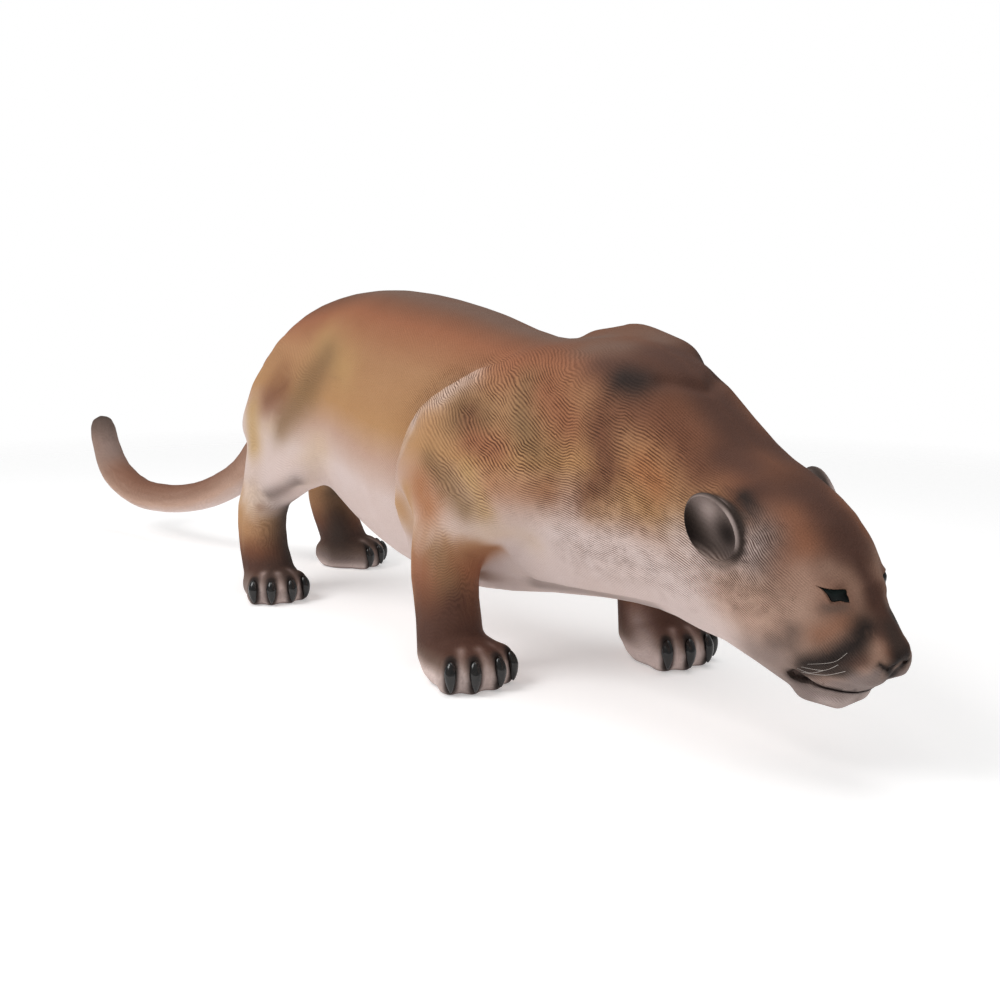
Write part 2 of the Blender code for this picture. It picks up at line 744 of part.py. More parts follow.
def paint(thing):
    """The plain colour and gloss of the piece."""
    colour, roughness = next(look for start, look in LOOKS if thing.name.startswith(start))
    material = bpy.data.materials.new(f"{thing.name}_finish")
    material.use_nodes = True
    shader = material.node_tree.nodes["Principled BSDF"]
    shader.inputs["Base Color"].default_value = (*colour, 1)
    shader.inputs["Roughness"].default_value = roughness
    shader.inputs["Metallic"].default_value = 0.0
    thing.data.materials.clear()
    thing.data.materials.append(material)


def main():
    clear_scene()
    body = bend_head(flesh())
    pieces = [body, *part_legs(body), *part_tail(body), *part_head(body)]
    pieces.append(part_at(body, "torso_fore", (0.170, 0, 0.300), (1, 0, -0.08)))
    for piece in pieces:
        keep_largest(piece)
    corners = np.concatenate([points_of(piece.data) for piece in pieces])
    middle = (corners.min(axis=0) + corners.max(axis=0)) / 2
    to_origin = Matrix.Translation((-middle[0], -middle[1], -corners[:, 2].min()))
    group = bpy.data.collections.new("cougar")
    bpy.context.scene.collection.children.link(group)
    for piece in pieces:
        piece.data.transform(to_origin)
        piece.data.shade_smooth()
        piece.data.set_sharp_from_angle(angle=math.radians(40))
        paint(piece)
        bpy.context.scene.collection.objects.unlink(piece)
        group.objects.link(piece)


main()
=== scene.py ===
"""The looks of a life-size moulded figure of a stalking cougar.

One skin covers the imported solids: their seams are melted, small forms are pressed into it, and the
airbrushed paint and the moulded ridges are laid out on it. Claws, eyes and whiskers are other pieces.
Metres, +Z up, the nose towards +X, the animal's left side towards +Y, the floor at Z = 0.
Places on the skin are on the figure's right side, and hold for its left side too. The face's openings,
whiskers, pressed forms, strokes and ridges are in millimetres.
"""

import itertools
import math

import bmesh
import bpy
import numpy as np
from mathutils import Matrix, Vector
from mathutils.bvhtree import BVHTree


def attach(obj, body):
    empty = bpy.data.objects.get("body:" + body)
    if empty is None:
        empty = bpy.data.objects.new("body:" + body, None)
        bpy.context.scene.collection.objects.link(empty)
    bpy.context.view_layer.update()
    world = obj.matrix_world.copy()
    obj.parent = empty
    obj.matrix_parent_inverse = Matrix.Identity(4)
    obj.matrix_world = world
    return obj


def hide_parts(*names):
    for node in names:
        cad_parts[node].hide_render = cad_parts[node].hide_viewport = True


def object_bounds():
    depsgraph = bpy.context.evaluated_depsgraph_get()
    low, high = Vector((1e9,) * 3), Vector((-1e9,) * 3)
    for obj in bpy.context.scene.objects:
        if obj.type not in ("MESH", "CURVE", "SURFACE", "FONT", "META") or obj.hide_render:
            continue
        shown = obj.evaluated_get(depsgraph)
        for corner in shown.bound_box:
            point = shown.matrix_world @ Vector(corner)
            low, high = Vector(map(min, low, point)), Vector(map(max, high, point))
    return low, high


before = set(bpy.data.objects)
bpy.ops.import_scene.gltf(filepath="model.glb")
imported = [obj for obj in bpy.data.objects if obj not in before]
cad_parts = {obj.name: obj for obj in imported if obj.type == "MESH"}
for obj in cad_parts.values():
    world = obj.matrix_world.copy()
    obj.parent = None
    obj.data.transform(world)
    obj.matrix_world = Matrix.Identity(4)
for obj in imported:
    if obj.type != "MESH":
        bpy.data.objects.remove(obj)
cad_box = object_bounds()
CLAWS = [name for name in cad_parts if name.startswith("claw")]
SIDES = ("left", "right")
MM = 1000.0  # millimetres in a metre

# The camera
PHOTO_WIDTH = 1000
CAMERA_AT = Vector((1.669, -1.134, 0.55))
CAMERA_HEADING = math.radians(50.07)  # turned from +Y towards -X
CAMERA_PITCH = math.radians(10.0)  # downwards
FOCAL_PIXELS = 1140
SENSOR = 36.0

# Soft lamps: name, place, size, power
LAMPS = (
    ("key", (-0.4, -2.4, 2.7), 1.8, 70),
    ("top", (0.6, 0.3, 3.0), 2.2, 34),
)
LAMPS_AIM = Vector((0.2, 0, 0.3))
SKY = 0.48  # the light from all around
FLOOR_RADIUS = 3.2
FLOOR_FADE = (0.3, 0.95)  # shares of the radius between which the floor fades out

# The head hangs turned a little to the right and rolled: the bend grows between two places along X
HEAD_PIVOT = np.array((0.74, 0.0, 0.27))
HEAD_YAW = math.radians(-6.0)
HEAD_ROLL = math.radians(5.0)
BEND_FROM, BEND_TO = 0.675, 0.85
UNBENDING = 6  # rounds of finding the straight figure's place

# The skin's grain
SEAM = 0.00002  # points of the solids that are nearer are one
SWELL = 0.0004  # closes the thin cuts between the solids
VOXEL = 0.0021
SKIN_TRIANGLES = 186000
MELTING = 60  # rounds of smoothing
SOLVING = 700  # rounds of conjugate gradients for the ridges
CREASE = math.radians(48)  # edges that bend more stay sharp

# How far the figure's left side stands ahead of the right one: heights, lengths
LAG = {
    "body": ((0.0,), (0.0,)),
    "fore": ((0.05, 0.25, 0.45), (0.118, 0.085, 0.059)),
    "hind": ((0.05, 0.15, 0.26, 0.4), (-0.136, -0.15, -0.08, -0.03)),
}

# The straight figure's right eye, the edge of its lids, and its right ear
EYE_AT = Vector((0.965, -0.035, 0.23))
LIDS = (
    (954.1, -55.2, 241.4), (961.7, -50.6, 239.5), (971.8, -46.1, 239.9), (977.9, -38.8, 239.9),
    (982.4, -27.9, 237.9), (984, -28, 230.1), (984.9, -26.6, 217.7), (979.1, -35.1, 217.9),
    (970.1, -46.1, 216.6), (968, -48.9, 222.2), (965, -50.8, 230), (959.9, -52, 236.8),
)
LID_REACH = (0.008, 0.034)  # the lids' wedge begins and ends this far from the eye's middle
EAR_AT = Vector((0.8365, -0.0945, 0.2945))
EAR_TOP = Vector((-0.6, -0.12, 0.82))  # the way its long axis points
EAR_FACING = Vector((0.42, -0.88, 0.15))
EAR_RADII = (0.045, 0.0315, 0.021)  # along, across and deep
EAR_RINGS = 24
EAR_WALL = 0.004
EAR_OPEN = 0.42  # how far the hollow stands out of the ear, as a share of its depth

# The mouth from its open corner to the front: place and half its opening
MOUTH = (
    (916.5, -60, 128.5, 1.2), (920.3, -57.1, 125, 4.6), (925.2, -54.1, 124.6, 6.6),
    (931.7, -49.7, 122.7, 5.5), (942.9, -49, 120.9, 3.4), (953.6, -42.9, 116.2, 1.9),
    (962.4, -36.3, 113.9, 1.5), (973.3, -27.2, 111.4, 1.5), (980.7, -15.7, 109.8, 1.4),
    (983.3, -3.4, 108.8, 1.2), (983.6, 0, 108.8, 1.2),
)
MOUTH_DEPTH = 0.011  # the slit goes as far in as out
MOUTH_TAPER = 0.6  # its height inside, as a share of that at the lips


def smoothstep(value, low, high):
    t = np.clip((value - low) / (high - low), 0, 1)
    return t * t * (3 - 2 * t)


def read(mesh, name):
    """A vector of each vertex, as rows."""
    out = np.empty(3 * len(mesh.vertices))
    mesh.vertices.foreach_get(name, out)
    return out.reshape(-1, 3)


def write_points(mesh, points):
    mesh.vertices.foreach_set("co", points.ravel())
    mesh.update()


def link(name, data):
    """An object in the scene, of a mesh, a lamp or a camera."""
    thing = bpy.data.objects.new(name, data)
    bpy.context.scene.collection.objects.link(thing)
    return thing


def mesh_from(name, bm):
    """An object from mesh work in hand, with its faces turned outwards."""
    bmesh.ops.recalc_face_normals(bm, faces=bm.faces)
    mesh = bpy.data.meshes.new(name)
    bm.to_mesh(mesh)
    bm.free()
    return link(name, mesh)


def bake(thing):
    """Applies the modifiers."""
    bpy.context.view_layer.update()
    evaluated = thing.evaluated_get(bpy.context.evaluated_depsgraph_get())
    mesh = bpy.data.meshes.new_from_object(evaluated)
    thing.modifiers.clear()
    thing.data = mesh
    return thing


def lofted(name, *bodies):
    """An object of closed bodies, each through rings of points."""
    bm = bmesh.new()
    for rings in bodies:
        rows = [[bm.verts.new(point) for point in ring] for ring in rings]
        count = len(rows[0])
        for a, b in zip(rows, rows[1:]):
            for i in range(count):
                j = (i + 1) % count
                bm.faces.new((a[i], a[j], b[j], b[i]))
        bm.faces.new(rows[0][::-1])
        bm.faces.new(rows[-1])
    return mesh_from(name, bm)


def turns(count):
    """Equal angles round a ring."""
    return [2 * math.pi * i / count for i in range(count)]


def smooth_run(points, steps):
    """More places along a run of places, on a Catmull-Rom curve."""
    points = np.array(points, float)
    padded = np.concatenate((points[:1], points, points[-1:]))
    out = []
    for before, a, b, after in zip(padded, padded[1:], padded[2:], padded[3:]):
        for t in np.arange(steps) / steps:
            curve = 2 * a + (b - before) * t + (2 * before - 5 * a + 4 * b - after) * t**2
            out.append((curve + (3 * a - before - 3 * b + after) * t**3) / 2)
    return np.array(out + [points[-1]])


def spun(a, b, angle):
    """Two coordinates turned by an angle."""
    return a * np.cos(angle) - b * np.sin(angle), a * np.sin(angle) + b * np.cos(angle)


def turned(points, share, backwards=False):
    """Points turned with the head, or turned back, by a share of its yaw and roll."""
    yaw, roll = HEAD_YAW * share, HEAD_ROLL * share
    x, y, z = (points - HEAD_PIVOT).T
    if backwards:
        x, y = spun(x, y, -yaw)
        y, z = spun(y, z, -roll)
    else:
        y, z = spun(y, z, roll)
        x, y = spun(x, y, yaw)
    return np.stack((x, y, z), 1) + HEAD_PIVOT


def bent(points):
    """From the straight figure to the one that turns its head."""
    points = np.atleast_2d(np.asarray(points, float))
    return turned(points, smoothstep(points[:, 0], BEND_FROM, BEND_TO))


def straightened(points):
    """From the figure that turns its head to the straight one, whose two sides mirror each other."""
    plain = points = np.atleast_2d(np.asarray(points, float))
    for _ in range(UNBENDING):
        plain = turned(points, smoothstep(plain[:, 0], BEND_FROM, BEND_TO), backwards=True)
    return plain


def bend(thing):
    """Turns a piece that is made on the straight figure with the head."""
    write_points(thing.data, bent(read(thing.data, "co")))
    return thing


def mirrored(points, side):
    """Places of the right side, or their mirror image."""
    return np.array(points, float) * ((1, 1, 1) if side == "right" else (1, -1, 1))


def side_run(rows, side, steps):
    """More rows along a run of rows that start with a place: millimetres of the right side, made metres."""
    run = smooth_run(rows, steps) / MM
    run[:, :3] = mirrored(run[:, :3], side)
    return run


class Net:
    """The edges of a mesh, for averages over each point's neighbours."""

    def __init__(self, mesh):
        ends = np.empty(2 * len(mesh.edges), np.int32)
        mesh.edges.foreach_get("vertices", ends)
        self.size = len(mesh.vertices)
        self.a, self.b = ends[::2].copy(), ends[1::2].copy()
        self.count = np.maximum(np.bincount(ends, minlength=self.size), 1)

    def total(self, values):
        """The sum of each point's neighbours."""
        at_a = np.bincount(self.a, values[self.b], self.size)
        return at_a + np.bincount(self.b, values[self.a], self.size)

    def average(self, values):
        if values.ndim == 1:
            return self.total(values) / self.count
        return np.stack([self.total(column) for column in values.T], 1) / self.count[:, None]

    def melted(self, values, rounds, share=1.0):
        for _ in range(rounds):
            values = values + 0.5 * share * (self.average(values) - values)
        return values

    def climb(self, steps, curves):
        """The values whose rise along each edge is nearest to the wanted step, starting from curves."""
        start = np.linalg.lstsq(curves[self.b] - curves[self.a], steps, rcond=None)[0]
        values = curves @ start
        missing = steps - values[self.b] + values[self.a]
        remainder = np.bincount(self.b, missing, self.size) - np.bincount(self.a, missing, self.size)
        rest = remainder / self.count
        way, power = rest.copy(), rest @ remainder
        for _ in range(SOLVING):
            spread = self.count * way - self.total(way)
            reach = power / (way @ spread)
            values += reach * way
            remainder = remainder - reach * spread
            rest = remainder / self.count
            before, power = power, rest @ remainder
            way = rest + power / before * way
        return values


def path_distance(points, path):
    """How far each point is from a run of straight stretches, and the way to it from there."""
    nearest = np.full(len(points), np.inf)
    way = np.zeros_like(points)
    for a, b in zip(path, path[1:] if len(path) > 1 else path):
        along = b - a
        t = np.clip((points - a) @ along / max(along @ along, 1e-12), 0, 1)
        off = points - a - t[:, None] * along
        distance = np.linalg.norm(off, axis=1)
        nearer = distance < nearest
        nearest[nearer] = distance[nearer]
        way[nearer] = off[nearer]
    return nearest, way


def folded(plain):
    """Places of the straight figure, with its right side folded onto the left."""
    return plain * (1, 0, 1) + np.abs(plain) * (0, 1, 0)


def folded_path(path):
    """Places of the right side, in millimetres, as they lie on the folded straight figure, in metres."""
    return folded(straightened(np.array(path) / MM))


class Sides:
    """The skin's points on the straight figure, with the right side folded onto the left."""

    def __init__(self, points):
        self.plain = straightened(points)
        self.left = self.plain[:, 1] > 0
        self.folded = {}
        for group, (heights, lags) in LAG.items():
            places = folded(self.plain)
            places[self.left, 0] -= np.interp(places[self.left, 2], heights, lags)
            self.folded[group] = places

    def spot(self, group, path, radius):
        """1 on the path, falling softly to 0 past the radius, in millimetres."""
        distance, _ = path_distance(self.folded[group], folded_path(path))
        return np.exp(-((distance / (radius / MM)) ** 2))

    def step(self, group, path, facing, edge, reach):
        """From 1 on the facing side of the path to -1 behind it.

        The step fades out over the reach and to the path's end. The edge and the reach are in millimetres.
        """
        path = folded_path(path)
        distance, way = path_distance(self.folded[group], path)
        signed = way @ (np.array(facing, float) * (1, -1, 1))
        rise = 2 * smoothstep(signed, -edge / MM, edge / MM) - 1
        fade = smoothstep(np.linalg.norm(self.folded[group] - path[-1], axis=1), 0.0, STEP_END)
        return fade * rise * np.exp(-((distance / (reach / MM)) ** 2))


# The rear edge of the shoulder and upper arm
BLADE = [
    (240, -150, 195), (236, -145, 242), (250, -145, 291), (262, -143, 331), (276, -141, 362),
    (296, -136, 388), (318, -129, 408), (345, -120, 424), (376, -107, 440), (412, -93, 456),
    (436, -80, 468),
]

# The fold between the lower neck and the chest
CHEST_FOLD = [
    (475, -78, 157), (547, -68, 157), (604, -65, 161), (683, -72, 168), (750, -75, 168),
]

# Forms pressed into the skin: group, radius, height, path
SPOTS = [
    ("body", 12, -6, (697, -54, 450), (715, -32, 446), (729, -6, 438)),
    ("fore", 12, -4, (431, -141, 190), (475, -78, 157)),
    ("fore", 14, -3.5, (408, -161, 312), (453, -162, 290), (485, -152, 251)),
    ("fore", 20, 2, (376, -163, 330), (345, -165, 340)),
    ("fore", 30, -2.5, (395, -150, 385), (450, -140, 370)),
    ("fore", 30, 2, (492, -125, 420), (530, -125, 350)),
    ("fore", 22, -2.5, (590, -110, 400), (585, -120, 320)),
    ("fore", 12, 2, (330, -180, 240), (345, -185, 150)),
    ("fore", 14, -1.5, (375, -190, 230), (380, -190, 130)),
    ("hind", 35, 5, (-104, -155, 253)),
    ("fore", 30, 5.5, (278, -162, 200), (298, -172, 150)),
    ("hind", 13, -7.5, (-200, -160, 212), (-165, -160, 186), (-130, -155, 182), (-100, -140, 200),
     (-70, -120, 230)),
    ("hind", 30, -2, (-55, -135, 300), (-30, -135, 370)),
    ("hind", 35, 2, (-200, -160, 280), (-210, -150, 340)),
    ("hind", 12, -1.5, (-190, -170, 190), (-185, -170, 110)),
    ("body", 14, -2, (973, -58, 205), (955, -70, 205)),
    ("body", 16, 3, (965.5, -41.6, 256), (937, -60, 264)),
    ("body", 13, -4, (972, -62, 228)),
    ("body", 16, 2, (1012, -45, 150), (990, -55, 150)),
    ("body", 5, 1, (1022, -30, 140), (1000, -50, 125)),
    ("body", 6, 1.4, (960, -64, 132), (990, -52, 122), (1012, -30, 115)),
    ("body", 16, -2, (930, -80, 180), (915, -84, 160)),
    ("body", 35, 1.5, (880, -95, 200)),
]
# Long steps across the skin: group, path, facing, half the edge's width, reach, height
STEPS = [
    ("fore", BLADE, (0.8, 0, -0.6), 2.5, 34, 10.5),
    ("body", CHEST_FOLD, (0, -0.5, 0.86), 3, 26, 4.5),
]
STEP_END = 0.06  # a step fades out this far before its path's end

TOE_GROOVE = 0.0018  # its depth
TOE_TURNS = (-34, 0, 34)  # the grooves' angles from the paw's heading
TOE_RUN = ((0.62, 0.8), (1.00, 0.45), (1.04, 0.04))  # its places: shares of the reach and the height
GROOVE_PRESSED, GROOVE_PAINTED = 0.005, 0.0075  # how wide it is
PAW_SIZES = {  # half width, half length, height
    "fore": (0.061, 0.07, 0.069),
    "hind": (0.055, 0.072, 0.064),
}
PAWS = {  # the middle of each paw, its heading in degrees
    "fore_right": (0.412, -0.152, -8),
    "fore_left": (0.53, 0.152, 0),
    "hind_right": (-0.194, -0.13, -16),
    "hind_left": (-0.33, 0.124, 46),
}


def ear_place(side, shift, radii):
    """Where an ear's ball lies: its long axis, its width and the way it faces, moved out by the shift."""
    long = Vector(mirrored(EAR_TOP, side)).normalized()
    facing = Vector(mirrored(EAR_FACING, side))
    facing = (facing - long * facing.dot(long)).normalized()
    axes = Matrix((long, facing.cross(long), facing)).transposed()
    centre = Vector(mirrored(EAR_AT, side)) + axes @ Vector((0, 0, shift))
    return Matrix.Translation(centre) @ axes.to_4x4() @ Matrix.Diagonal((*radii, 1))


def ear_ball(side, shift, radii):
    """A ball for an ear or its hollow."""
    bm = bmesh.new()
    place = ear_place(side, shift, radii)
    bmesh.ops.create_uvsphere(bm, u_segments=2 * EAR_RINGS, v_segments=EAR_RINGS, radius=1, matrix=place)
    return bend(mesh_from(f"ear_{side}", bm))


def carve(thing, cutter):
    """Cuts the cutter's shape out of the piece."""
    step = thing.modifiers.new("cut", "BOOLEAN")
    step.operation = "DIFFERENCE"
    step.solver = "MANIFOLD"
    step.object = cutter
    bake(thing)
    bpy.data.objects.remove(cutter)
    return thing


def swollen_solids():
    """The solids of the flesh and the eyes as one mesh, swollen enough to close the cuts between them."""
    bm = bmesh.new()
    for name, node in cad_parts.items():
        if not name.startswith(("claw", "ear")):
            bm.from_mesh(node.data)
    bmesh.ops.remove_doubles(bm, verts=bm.verts, dist=SEAM)
    mesh = bpy.data.meshes.new("skin")
    bm.to_mesh(mesh)
    bm.free()
    write_points(mesh, read(mesh, "co") + SWELL * read(mesh, "normal"))
    return mesh


def fused_skin():
    """One closed skin round the solids, with finer ears that are hollowed out."""
    mesh = swollen_solids()
    bm = bmesh.new()
    bm.from_mesh(mesh)
    for side in SIDES:
        flap = ear_ball(side, 0, EAR_RADII)
        bm.from_mesh(flap.data)
        bpy.data.objects.remove(flap)
    bm.to_mesh(mesh)
    bm.free()
    skin = link("skin", mesh)
    remesh = skin.modifiers.new("fuse", "REMESH")
    remesh.mode = "VOXEL"
    remesh.voxel_size = VOXEL
    bake(skin)
    for side in SIDES:
        hollow = [radius - EAR_WALL for radius in EAR_RADII]
        carve(skin, ear_ball(side, EAR_RADII[2] * EAR_OPEN, hollow))
    return skin


def melting(points):
    """How much the solids' flats are smoothed: fully on the trunk, least on the ears."""
    plain = straightened(points)
    face = smoothstep(plain[:, 0], 0.87, 0.93)
    paw = 1 - smoothstep(points[:, 2], 0.06, 0.11)
    leg = 1 - smoothstep(points[:, 2], 0.24, 0.34)
    tail = 1 - smoothstep(points[:, 0], -0.5, -0.4)
    share = 1 - np.maximum.reduce((0.72 * face, 0.45 * paw, 0.4 * leg, 0.75 * tail))
    near = np.linalg.norm(folded(plain) - mirrored(EAR_AT, "left"), axis=1)
    return share * (0.06 + 0.94 * smoothstep(near, 0.042, 0.062))


def melt(skin):
    """Smooths the skin's points without making the figure thinner."""
    mesh = skin.data
    net = Net(mesh)
    points = read(mesh, "co")
    share = melting(points)[:, None]
    smooth = net.melted(points, MELTING, share)
    smooth += net.melted(points - smooth, MELTING, share)
    smooth[:, 2] = np.maximum(smooth[:, 2], 0)
    write_points(mesh, smooth)


def toe_paths():
    """The grooves between the toes, from over each paw's top down its front."""
    for name, (x, y, heading) in PAWS.items():
        half_width, half_length, height = PAW_SIZES[name.split("_")[0]]
        middle = np.array((x, y, 0))
        for turn in map(math.radians, TOE_TURNS):
            a = math.radians(heading) + turn
            reach = half_length * math.cos(turn) ** 2 + half_width * math.sin(turn) ** 2
            way = np.array((math.cos(a), math.sin(a), 0)) * reach
            yield [middle + way * out + (0, 0, up * height) for out, up in TOE_RUN]


def near_toe_grooves(points, radius):
    """1 in the grooves between the toes, falling softly to 0 past the radius."""
    return sum(np.exp(-((path_distance(points, path)[0] / radius) ** 2)) for path in toe_paths())


def press(skin):
    """Presses the small forms into the skin, within the solids' box."""
    mesh = skin.data
    points = read(mesh, "co")
    sides = Sides(points)
    height = -TOE_GROOVE * near_toe_grooves(points, GROOVE_PRESSED)
    for group, radius, amount, *path in SPOTS:
        height += amount / MM * sides.spot(group, path, radius)
    for group, path, facing, edge, reach, amount in STEPS:
        height += amount / MM * sides.step(group, path, facing, edge, reach)
    points = points + height[:, None] * read(mesh, "normal")
    write_points(mesh, np.clip(points, *np.array(cad_box)))


def thin_out(skin):
    """Fewer triangles where the forms are large."""
    thin = skin.modifiers.new("thin", "DECIMATE")
    thin.ratio = SKIN_TRIANGLES / sum(len(polygon.vertices) - 2 for polygon in skin.data.polygons)
    bake(skin)


def lid_cutter(side):
    """The wedge between the lids, from inside the eye out past the skin."""
    centre = Vector(mirrored(EYE_AT, side))
    edge = side_run(LIDS, side, 2)
    ways = [(Vector(point) - centre).normalized() for point in edge]
    return bend(lofted("lids", [[centre + way * reach for way in ways] for reach in LID_REACH]))


def mouth_cutter(side):
    """The slit of the mouth, wide at its open corner and thin to the front."""
    rings = []
    for x, y, z, half in side_run(MOUTH, side, 3):
        backwards = -1 + 0.65 * min(abs(y) / 0.045, 1)
        inwards = np.array((backwards, -y / max(abs(y), 0.02), 0.0)) * MOUTH_DEPTH
        middle = np.array((x, y, z))
        up = np.array((0, 0, half))
        rings.append([
            middle - inwards + up, middle + up, middle + inwards + up * MOUTH_TAPER,
            middle + inwards - up * MOUTH_TAPER, middle - up, middle - inwards - up,
        ])
    return bend(lofted("mouth", rings))


# A nostril from the middle outwards: place and half its height
NOSTRIL = (
    (1026, -6, 152, 3), (1027, -11.5, 149, 4.2), (1022.5, -16.5, 150, 2.6), (1015, -20.5, 154, 1),
)
NOSTRIL_LENGTHENED = 1.6  # how much longer it is along X than high


def nostril_cutter(side):
    """A comma-shaped hole under the nose's wing."""
    rings = []
    for x, y, z, radius in side_run(NOSTRIL, side, 3):
        length = NOSTRIL_LENGTHENED * radius
        rings.append([(x + length * math.cos(a), y, z + radius * math.sin(a)) for a in turns(12)])
    return bend(lofted("nostril", rings))


def open_face(skin):
    """Cuts the eyes' openings, the mouth and the nostrils."""
    for side in SIDES:
        for cutter in (lid_cutter(side), mouth_cutter(side), nostril_cutter(side)):
            carve(skin, cutter)


def unwrap(skin):
    """An unwrap of the skin's own shape."""
    skin.data.uv_layers.new(name="OFBake")
    bpy.context.view_layer.objects.active = skin
    skin.select_set(True)
    bpy.ops.object.mode_set(mode="EDIT")
    bpy.ops.mesh.select_all(action="SELECT")
    bpy.ops.uv.smart_project(angle_limit=math.radians(66), island_margin=0.001)
    bpy.ops.object.mode_set(mode="OBJECT")
    skin.select_set(False)


def linear(colour):
    """From a colour as seen on a screen to its light."""
    c = np.array(colour)
    return np.where(c <= 0.04045, c / 12.92, ((c + 0.055) / 1.055) ** 2.4)


# The paints, as seen
PAINTS = {
    "cream": (0.86, 0.76, 0.66),
    "lilac": (0.86, 0.79, 0.77),
    "dust": (0.63, 0.5, 0.43),
    "russet": (0.5, 0.35, 0.28),
    "pink": (0.77, 0.64, 0.57),
    "ochre": (0.73, 0.56, 0.39),
    "yellow": (0.74, 0.6, 0.4),
    "tan": (0.68, 0.51, 0.37),
    "orange": (0.67, 0.45, 0.3),
    "rust": (0.6, 0.39, 0.28),
    "olive": (0.52, 0.41, 0.29),
    "taupe": (0.56, 0.5, 0.48),
    "brown": (0.46, 0.3, 0.22),
    "drab": (0.45, 0.37, 0.33),
    "umber": (0.34, 0.23, 0.19),
    "soot": (0.24, 0.2, 0.18),
    "black": (0.15, 0.12, 0.11),
}

# The back line and the belly line of the straight figure: x, z
BACK_LINE = (
    (-0.37, 0.41), (-0.2, 0.526), (0.03, 0.566), (0.27, 0.535), (0.45, 0.495), (0.61, 0.497),
    (0.755, 0.418), (0.87, 0.349), (0.93, 0.314), (1.00, 0.21), (1.03, 0.17),
)
BELLY_LINE = (
    (-0.37, 0.33), (-0.1, 0.2), (0.15, 0.11), (0.37, 0.104), (0.53, 0.127),
    (0.69, 0.139), (0.82, 0.121), (0.91, 0.086), (0.96, 0.088), (1.00, 0.13),
)

# The base coat of the trunk and the head: share of the height from the belly to the back, paint
BANDS = (
    (0.1, "lilac"), (0.3, "lilac"), (0.44, "pink"), (0.56, "ochre"), (0.78, "tan"), (0.92, "rust"),
    (1.0, "brown"),
)
HEAD_BANDS = (
    (0.1, "taupe"), (0.3, "pink"), (0.48, "dust"), (0.62, "dust"), (0.8, "russet"), (1.0, "umber"),
)
HEAD_FROM = (0.83, 0.92)  # along X, the trunk's bands turn into the head's

# The base coat of the legs: height, paint
FORE_BANDS = (
    (0.001, "taupe"), (0.006, "lilac"), (0.024, "lilac"), (0.042, "drab"), (0.058, "umber"),
    (0.085, "umber"), (0.125, "brown"), (0.17, "rust"), (0.22, "tan"), (0.27, "ochre"),
)
HIND_BANDS = (
    (0.001, "taupe"), (0.006, "lilac"), (0.022, "taupe"), (0.042, "drab"), (0.058, "umber"),
    (0.068, "umber"), (0.09, "brown"), (0.125, "tan"), (0.17, "ochre"), (0.25, "ochre"),
)

# The base coat of the tail: how far the surface faces up, paint
TAIL_BANDS = ((0.0, "lilac"), (0.3, "pink"), (0.55, "dust"), (1.0, "russet"))

# Where the forelegs' coat gives way to the chest's, along X, Y and Z
CHEST_AHEAD, CHEST_INSIDE, CHEST_ABOVE = (0.44, 0.465), (-0.12, -0.095), (0.12, 0.16)
COAT_BLEND = 30  # rounds of smoothing between two coats

# The paint in the grooves between the toes, and the black of the painted shade round a claw, as of a
# recess, to this far from its middle
GROOVE_COVER = 0.75
CLAW_SHADE_REACH, CLAW_SHADE_COVER = 0.0105, 0.95

